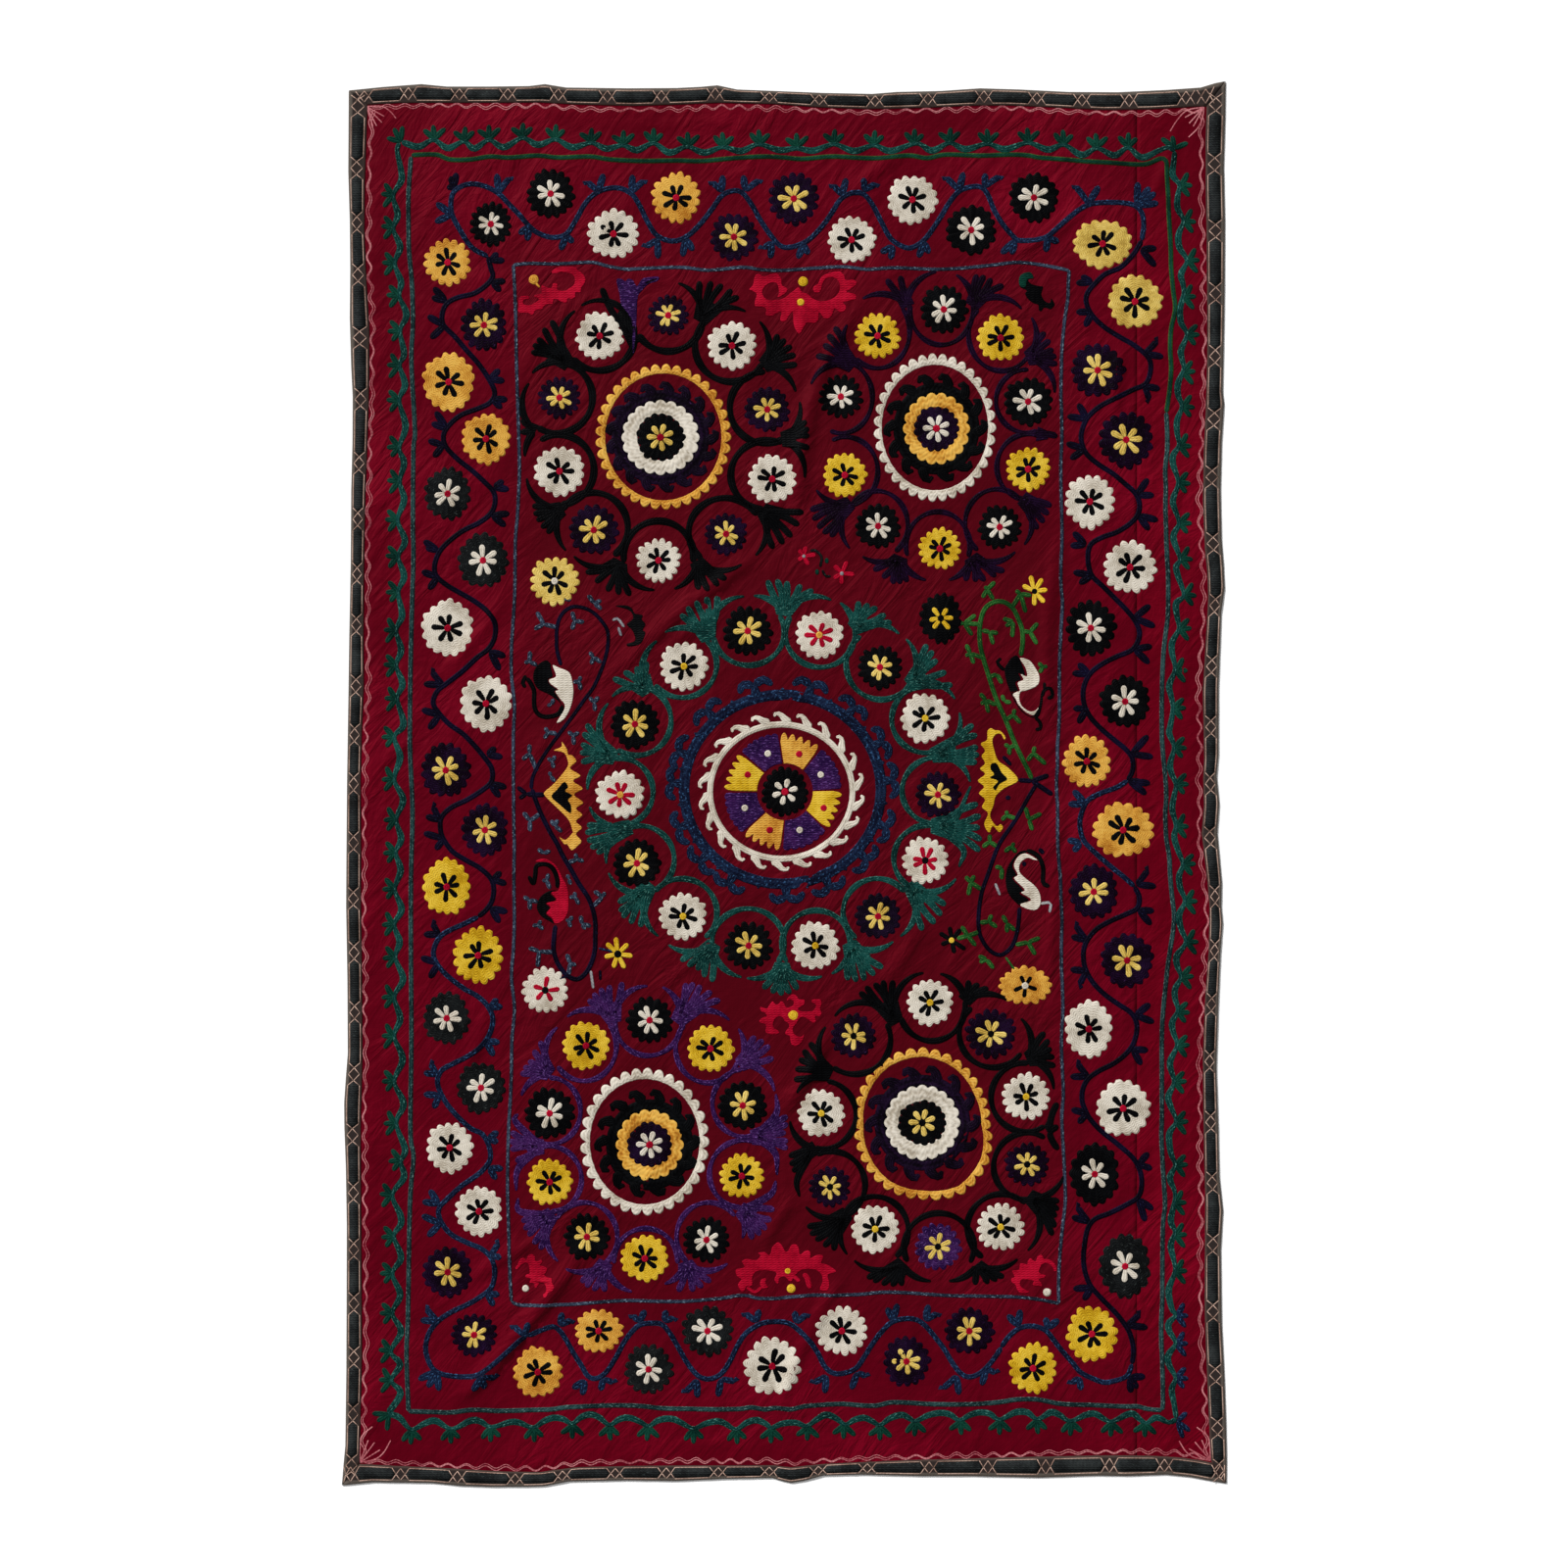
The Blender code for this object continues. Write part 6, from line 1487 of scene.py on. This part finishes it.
def sew_hooks(sewing, x, y, rx, ry, reach, count, width, turn=0.0, marks=UPRIGHT_HOOK):
    """A ring of curled hooks: each rises from the inner oval and turns over to one side; leaning ones rise
    slantwise like a running wave."""
    step = 2 * np.pi / count
    for k in range(count):
        a = turn + 2 * np.pi * k / count
        path = [(x + (rx + reach * out) * np.cos(a + step * on),
                 y - (ry + reach * out) * np.sin(a + step * on), width * size) for on, out, size in marks]
        sew_line(sewing, path)


def sew_middle_petals(x, y, petals, count, turn, stations, heart, size):
    """Straight petals round a heart; stations are each a way out and the width there."""
    for k in range(count):
        a = turn + 2 * np.pi * k / count
        path = [(x + r * np.cos(a), y - r * np.sin(a), w) for r, w in stations]
        sew_line(thread("middle_petals", petals), path, base=0.6 * MM, height=0.6 * MM, step=6)
    sew_disc(thread("hearts", heart), x, y, size, size, base=0.9 * MM, height=0.55 * MM)


# the middle of each corner medallion, from its heart out: the petals' and the round's shades, the round's
# radii, the scalloped ring with its radii, the hooks with their reach and number, and the wide outer ring
# with its own middle and its inner and outer radii; the lower right one is egg shaped, read at twelve angles
# and then filled in for six points to each of its 36 scallops
RADII_LOWER_RIGHT = [59, 60, 65, 68.5, 68, 64, 60.5, 63, 67, 67.5, 72.5, 68]
around = np.linspace(0, 2 * np.pi, 36 * 6, endpoint=False)
egg = np.interp(around, np.linspace(0, 2 * np.pi, 13), RADII_LOWER_RIGHT + RADII_LOWER_RIGHT[:1])
QUARTER_CENTRES = [
    dict(x=674, y=446.5, petals="straw", disc="black", disc_r=(25.5, 25.5), ring="white", ring_r=(42, 40.5),
         scallops=20, hooks="purple", reach=11, count=17, outer="gold", outer_middle=(677, 446),
         outer_in=(59, 64.4), outer_out=(69, 74), outer_scallops=37),
    dict(x=955.5, y=437.5, petals="white", disc="plum", disc_r=(24, 24), ring="gold", ring_r=(36, 39),
         scallops=18, hooks="black", reach=12, count=14, outer="white", outer_middle=(954, 436.5),
         outer_in=(54, 63.6), outer_out=(62, 75.4), outer_scallops=35),
    dict(x=663, y=1168, petals="white", disc="plum", disc_r=(24, 24), ring="gold", ring_r=(36.6, 38.4),
         scallops=18, hooks="black", reach=12, count=14, outer="white", outer_middle=(658, 1165),
         outer_in=(55.6, 63.6), outer_out=(65.5, 75), outer_scallops=33),
    dict(x=941, y=1145.5, petals="straw", disc="black", disc_r=(25.8, 23.7), ring="white", ring_r=(41, 41),
         scallops=20, hooks="purple", reach=13, count=14, outer="gold", outer_middle=(942, 1147),
         outer_in=(egg, egg), outer_out=(egg + 9.5, egg + 9.5), outer_scallops=36, heart="black"),
]


def sew_quarter_centre(x, y, petals, disc, disc_r, ring, ring_r, scallops, hooks, reach, count, outer,
                       outer_middle, outer_in, outer_out, outer_scallops, heart="red"):
    """The middle of a corner medallion, from its heart out: petals, round, scalloped ring, hooks and the
    wide scalloped ring. The hooks stand between the centre and the outer ring's own middle."""
    sew_disc(thread("middle_rounds", disc), x, y, *disc_r, 17, 3.6, base=0.15 * MM)
    sew_middle_petals(x, y, petals, 7, 0.4, ((3.4, 4.4), (9.5, 6.2), (14.0, 7.4)), heart, 4.2)
    rx, ry = ring_r
    sew_ring(thread("middle_rings", ring), x, y, (disc_r[0] - 3, disc_r[1] - 3), ring_r, scallops, 4.5,
             height=0.6 * MM)
    sew_ring(thread("middle_hooks", hooks), x, y, (rx - 6, ry - 6), (rx + 9, ry + 9), base=-0.2 * MM)
    sew_hooks(thread("middle_hooks", hooks), (x + outer_middle[0]) / 2, (y + outer_middle[1]) / 2,
              rx + 2, ry + 2, reach, count, 8.6)
    sew_ring(thread("middle_outer_rings", outer), *outer_middle, outer_in,
             (outer_out[0] + 1, outer_out[1] + 1), outer_scallops, 7.0)


for facts in QUARTER_CENTRES:
    sew_quarter_centre(**facts)

# the middle medallion: a wheel of eight scalloped wedges, a white ring of hooks, a blue ring of anchors
WHEEL_X, WHEEL_Y = 801.0, 808.0
RUNNING_RING, ANCHOR_RING = (797.3, 807.8), (798.5, 805.5)
# each wedge: where it starts and ends in degrees, its shade, and its dot's shade and place
WEDGES = [(49, 94, "gold", "red", (815.5, 769.5)), (2, 49, "violet", "white", (837.5, 790.5)),
          (-41, 2, "yellow", "red", (840.5, 824.5)), (-91, -41, "violet", "white", (816, 847)),
          (-134, -91, "gold", "red", (785.5, 847)), (-180, -134, "violet", "white", (760, 824.5)),
          (137, 180, "yellow", "red", (763, 790.5)), (94, 137, "violet", "white", (783.5, 769))]
sew_disc(thread("middle_rounds", "black"), WHEEL_X, WHEEL_Y, 24.5, 26, 18, 3.6)
sew_middle_petals(WHEEL_X, WHEEL_Y, "white", 6, 0.3, ((4.2, 4.0), (9.5, 6.4), (13.4, 7.0)), "red", 4.0)
WEDGE_POINTS = 37
for first, last, shade, dot, spot in WEDGES:
    angle = np.radians(np.linspace(first + 1.0, last - 1.0, WEDGE_POINTS))
    bright = shade in ("gold", "yellow")
    lobes = np.abs(np.sin((5 if bright else 6) * np.pi * np.linspace(0, 1, WEDGE_POINTS))) ** 0.6
    inner = np.column_stack([WHEEL_X + 28.5 * np.cos(angle[::6]), WHEEL_Y - 29 * np.sin(angle[::6])])
    reach = (51 + 9.5 * lobes if bright else 57.5 + 2.0 * lobes) + 1.2 * np.sin(angle * 4)
    outer = np.column_stack([WHEEL_X - 2 + reach * np.cos(angle), WHEEL_Y - reach * np.sin(angle)])
    sew_patch(thread("wheel", shade), np.concatenate([inner, outer[::-1]]), smooth=False)
    sew_disc(thread("hearts", dot), *spot, 3.8, 3.8, base=0.7 * MM, height=0.55 * MM)
sew_ring(thread("middle_rings", "white"), *RUNNING_RING, (69.6, 65.3), (76, 72))
sew_hooks(thread("middle_rings", "white"), *RUNNING_RING, 74.0, 70.0, 9.8, 22, 5.2, 0.15, LEANING_HOOK)
sew_ring(thread("anchor_ring", "blue"), *ANCHOR_RING, (94.6, 90.6), (106.5, 102.5))
# anchors by their angles: a shank, two arms, and a bump on the ring halfway to the next
ANCHORS = [105, 75, 49.7, 26.3, 4.9, -20.6, -40.6, -64.9, -88, 241, 222, 201, 176.6, 159.6, 133]
for k, degrees in enumerate(ANCHORS):
    a = np.radians(degrees)
    out, side = np.array([np.cos(a), -np.sin(a)]), np.array([np.sin(a), np.cos(a)])
    foot, crown = ANCHOR_RING + out * (99, 95), ANCHOR_RING + out * (113, 110)
    sew_line(thread("anchor_ring", "blue"), [(*foot, 17.0), (*((foot + crown) / 2), 9.6), (*crown, 9.0)])
    for sign in (-1, 1):
        tip = crown + side * sign * (17.5 + 1.2 * np.sin(k * 2.0 + sign)) - out * 4.6
        over = crown + side * sign * 11.0 + out * 2.8
        sew_line(thread("anchor_ring", "blue"), [(*crown, 9.0), (*over, 9.0), (*tip, 6.4)])
    nearest = (ANCHORS[(k + 1) % len(ANCHORS)] - degrees + 180) % 360 - 180
    b = np.radians(degrees + nearest / 2)
    bump = [(ANCHOR_RING[0] + rx * np.cos(b + t), ANCHOR_RING[1] - (rx - 4) * np.sin(b + t))
            for rx, t in ((100, -0.075), (108.5, 0.0), (100, 0.075))]
    sew_patch(thread("anchor_ring", "blue"), bump, smooth=False)
# the dark leaf in the upper right corner has a green head
sew_patch(thread("green_head", "leaf"), places("""1039.5,288 1041.5,280.7 1050.8,277.8 1054.6,283.6
    1048.2,285.8 1046.6,292.6 1041.5,292.8"""), base=0.35 * MM)

# ------------------------------------------------------------------ the wave inside the band, and the corners
# the loose straight stitches in the four corners
CORNER_SPRAYS = """374,109 390,109 399,114.7 404.5,121.5; 374,109 392.5,119.3; 374,109 390,125.5; 374,109
    384.6,129; 374,109 381,130; 1228.3,109.6 1211,113 1201,123 1193.7,134.5; 1228.3,109.6 1209,120.2;
    1228.3,109.6 1213.2,126.3; 1228.3,109.6 1217.4,129.5; 1228.3,109.6 1227,120 1222,131 1212.6,140.4;
    367.4,1492 368,1472 370.6,1463.7 380.3,1455.4; 367.4,1492 376,1469.2; 367.4,1492 382.5,1471.4;
    367.4,1492 388,1479.1; 367.4,1492 382.8,1488.7 391.8,1481.7 398.8,1469.5; 1235,1490 1234,1472 1231,1464
    1221,1456; 1235,1490 1226,1469; 1235,1490 1219,1471; 1235,1490 1213,1478; 1235,1490 1219,1487 1210,1481
    1203,1470"""
# how long one wave is beside each side of the band
WAVE_LENGTH = {"top": 19.0, "bottom": 19.0, "left": 22.0, "right": 22.0}


def inner_line(side, along):
    """The band's inner line at places along it."""
    rows, _, inner, inner_along = SIDES[side]
    order = np.argsort(inner_along)
    return np.interp(along, inner_along[order], inner[order])


def sew_wave(side):
    """Two thin threads that wave side by side along the band: the first about 3.1 units in from it and
    1.9 either way, by a sine a little uneven in length and height, the second 0.9 to 2.5 units further."""
    _, _, _, inner_along = SIDES[side]
    along = np.arange(inner_along.min() + 5, inner_along.max() - 5, WAVE_LENGTH[side] / 8)
    inward = 1 if side in ("top", "left") else -1
    turns = 2 * np.pi * along / WAVE_LENGTH[side] + 0.8 * np.sin(along / 61) + 0.5 * np.sin(along / 23)
    across = inner_line(side, along) + inward * (3.1 + (1.9 + 0.4 * np.sin(along / 37)) * np.sin(turns))
    across += inward * 0.8 * np.sin(along / 90)
    line = np.column_stack([along, across] if side in ("top", "bottom") else [across, along])
    sew_line(thread("wave", "pink"), line, 0.95, height=0.45 * MM, step=2.6)
    shift = (1.7 + 0.8 * np.sin(along / 15.3)) * inward
    line[:, 1 if side in ("top", "bottom") else 0] += shift
    sew_line(thread("wave", "pink"), line, 0.75, height=0.4 * MM, step=2.6)


for side in SIDES:
    sew_wave(side)
for spray in CORNER_SPRAYS.split(";"):
    sew_line(thread("wave", "pink"), places(spray), 1.25, height=0.5 * MM)

# ------------------------------------------------------------------ what is woven and sewn on the band
# along each side, the middles of the groups of crossed threads
GROUPS = {
    "top": [372, 417, 469, 518.5, 570, 620, 675, 730, 785, 836, 893, 947, 1004, 1058, 1104, 1152, 1210, 1230],
    "bottom": [358, 409, 467, 526, 574, 628, 680, 733, 785, 835, 885, 948, 1008, 1067, 1132, 1188, 1245],
    "left": [109, 172, 228, 281, 345, 408, 473, 530, 586, 638, 700, 750, 800, 860, 917, 972, 1033, 1096,
             1158, 1217, 1275, 1330, 1385, 1443, 1495],
    "right": [107, 168, 236, 300, 364, 428, 487, 555, 618, 680, 742, 800, 855, 915, 970, 1025, 1083, 1145,
              1207, 1270, 1338, 1403, 1457, 1500],
}


def on_band(side, along, share):
    """Chart places on the band's upper face, from places along it and shares of the way straight in."""
    along, share = np.asarray(along, dtype=float), np.asarray(share, dtype=float)
    out, inside = outline_at(side, along), inner_line(side, along)
    o = out + (inside - out) * share
    return np.column_stack([o, along] if side in ("left", "right") else [along, o])


def lay_on_band(sewing, points, width, height):
    """A fine thread on the band's upper face, its section a low roof with a flat foot."""
    fine, length = smooth_path(points) if len(points) > 2 else (np.asarray(points, dtype=float), None)
    if length is None:
        length = np.array([0, np.hypot(*(fine[1] - fine[0]))])
    s = np.linspace(0, length[-1], max(int(length[-1] / 4), 2) + 1)
    x, y = (np.interp(s, length, fine[:, i]) for i in range(2))
    dx, dy = np.gradient(x), np.gradient(y)
    size = np.maximum(np.hypot(dx, dy), 1e-6)
    across = np.array([-1, -0.5, 0.5, 1]) * width / 2
    up = np.array([-0.2, 1, 1, -0.2]) * height
    px, py = x[:, None] - (dy / size)[:, None] * across, y[:, None] + (dx / size)[:, None] * across
    pz = np.broadcast_to(BAND_HEIGHT + 0.1 * MM + up[None, :], px.shape)
    n, caps = len(s), np.array([(0, 1, 2, 3)])
    sewing.add(metres(px, py, pz).reshape(-1, 3), [tube_faces(n, 4), caps, caps[:, ::-1] + (n - 1) * 4],
               stitch_rows((s * UNIT_MM)[:, None], (across * UNIT_MM)[None, :]))


def band_panel(sewing, side, first, last, slant):
    """A charcoal panel between two crossings: a long six-sided patch, raised 0.25 mm. Its rim has fourteen
    points: the near tip, six along one side, the far tip and six back; six more lie down its middle."""
    inner = np.linspace(first + slant, last - slant, 6)
    rim = np.concatenate([on_band(side, [first], [0.5]), on_band(side, inner, [0.22] * 6),
                          on_band(side, [last], [0.5]), on_band(side, inner[::-1], [0.84] * 6)])
    centre = on_band(side, inner, [0.53] * 6)
    low, high = BAND_HEIGHT - 0.1 * MM, BAND_HEIGHT + 0.25 * MM
    n = len(rim)
    points = np.concatenate([metres(*line.T, height) for line, height in
                             ((rim, low), (rim, high), (centre, high + 0.05 * MM), (centre, low))])
    wall = ring_walls(np.arange(n), np.arange(n) + n)
    near, far, mid, under = np.arange(1, 7), 13 - np.arange(6), 2 * n + np.arange(6), 2 * n + 6 + np.arange(6)
    top = [np.stack([near[:-1] + n, near[1:] + n, mid[1:], mid[:-1]], axis=-1),
           np.stack([mid[:-1], mid[1:], far[1:] + n, far[:-1] + n], axis=-1)]
    low_faces = [np.stack([near[1:], near[:-1], under[:-1], under[1:]], axis=-1),
                 np.stack([under[1:], under[:-1], far[:-1], far[1:]], axis=-1)]
    ends = np.array([(n, n + 1, 2 * n), (n, 2 * n, n + 13), (n + 7, 2 * n + 5, n + 6),
                     (n + 7, n + 8, 2 * n + 5), (1, 0, 2 * n + 6), (2 * n + 6, 0, 13), (2 * n + 11, 7, 6),
                     (8, 7, 2 * n + 11)])
    sewing.add(points, [wall, *top, *low_faces, ends], points[:, :2] / MM)


SHORTEST_PANEL = 25
# each group: two threads that cross twice beside its middle, as zigzags between two lines on the band
panels, stitches = Sewing("band_panels"), Sewing("band_stitches")
for side, centres in GROUPS.items():
    tall = side in ("left", "right")
    half, reach = (6.5, 11.5) if tall else (4.6, 8.8)
    rows = SIDES[side][0]
    for centre in centres:
        for a, b in ((0.14, 0.86), (0.88, 0.16)):
            marks = np.clip([centre - reach, centre - half, centre, centre + half, centre + reach],
                            rows[0] + 2, rows[-1] - 2)
            points = on_band(side, marks, [a, 0.5, b, 0.5, a])
            for first, last in zip(points[:-1], points[1:]):
                if np.hypot(*(last - first)) > 1:
                    lay_on_band(stitches, [first, last], 1.0, 0.3 * MM)
    for first, last in zip(centres[:-1], centres[1:]):
        if last - first < SHORTEST_PANEL:
            continue
        band_panel(panels, side, first + half + 0.8, last - half - 0.8, reach - half)
        for share in (0.15, 0.88):
            along = np.linspace(first + reach, last - reach, 6)
            lay_on_band(stitches, on_band(side, along, [share] * 6), 0.95, 0.3 * MM)
CHARCOAL = silk("charcoal_cotton_weft", "#121313", "#1B1D1E", "#2A2D2D", "#3C4443", 0.66)
TAN = silk("faded_rose_thread", "#6E5448", "#987A6C", "#BEA090")
sewn = [panels.make(CHARCOAL, "charcoal_band"), stitches.make(TAN, "charcoal_band")]
for piece in sewn:
    turn_outward(piece)
sewn += [sewing.make(SILK[shade]) for sewing, shade in work.values()]


def studio():
    """A pale floor, one soft light from the upper left, a white sky, and the camera straight above with
    the picture's whole width of 2.685 m in view."""
    mesh = bpy.data.meshes.new("floor")
    mesh.from_pydata([(-6, -6, 0), (6, -6, 0), (6, 6, 0), (-6, 6, 0)], [], [(0, 1, 2, 3)])
    floor = bpy.data.objects.new("floor", mesh)
    bpy.context.scene.collection.objects.link(floor)
    material, shader = new_finish("white_paper_floor")
    place = add_node(material, "TexCoord").outputs["Object"]
    tooth = add_node(material, "TexNoise", {"Vector": place, "Scale": 400.0})
    set_shader(material, shader, Base_Color=colour("#FFFFFF"), Roughness=0.9, Specular_IOR_Level=0.1,
               Normal=bumps(material, tooth.outputs["Fac"], 0.02, 0.001))
    mesh.materials.append(material)
    world = bpy.data.worlds.new("studio_sky")
    world.use_nodes = True
    sky = world.node_tree.nodes["Background"].inputs
    sky["Color"].default_value, sky["Strength"].default_value = (1, 1, 1, 1), 0.36
    bpy.context.scene.world = world
    lamp = bpy.data.lights.new("upper_left_light", "SUN")
    lamp.energy, lamp.angle = 4.42, np.radians(12)
    light = bpy.data.objects.new("upper_left_light", lamp)
    light.rotation_euler = Vector((-0.75, 0.9, 0.78)).to_track_quat("Z", "Y").to_euler()
    bpy.context.scene.collection.objects.link(light)
    view = bpy.data.cameras.new("view_from_above")
    view.lens, view.sensor_width = 85, 36
    camera = bpy.data.objects.new("view_from_above", view)
    camera.location = ((PICTURE_UNITS / 2 - CHART_X) * CHART_UNIT, 0,
                       PICTURE_UNITS * CHART_UNIT * view.lens / view.sensor_width)
    bpy.context.scene.collection.objects.link(camera)
    bpy.context.scene.camera = camera
    bpy.context.scene.view_settings.view_transform = "Standard"


studio()
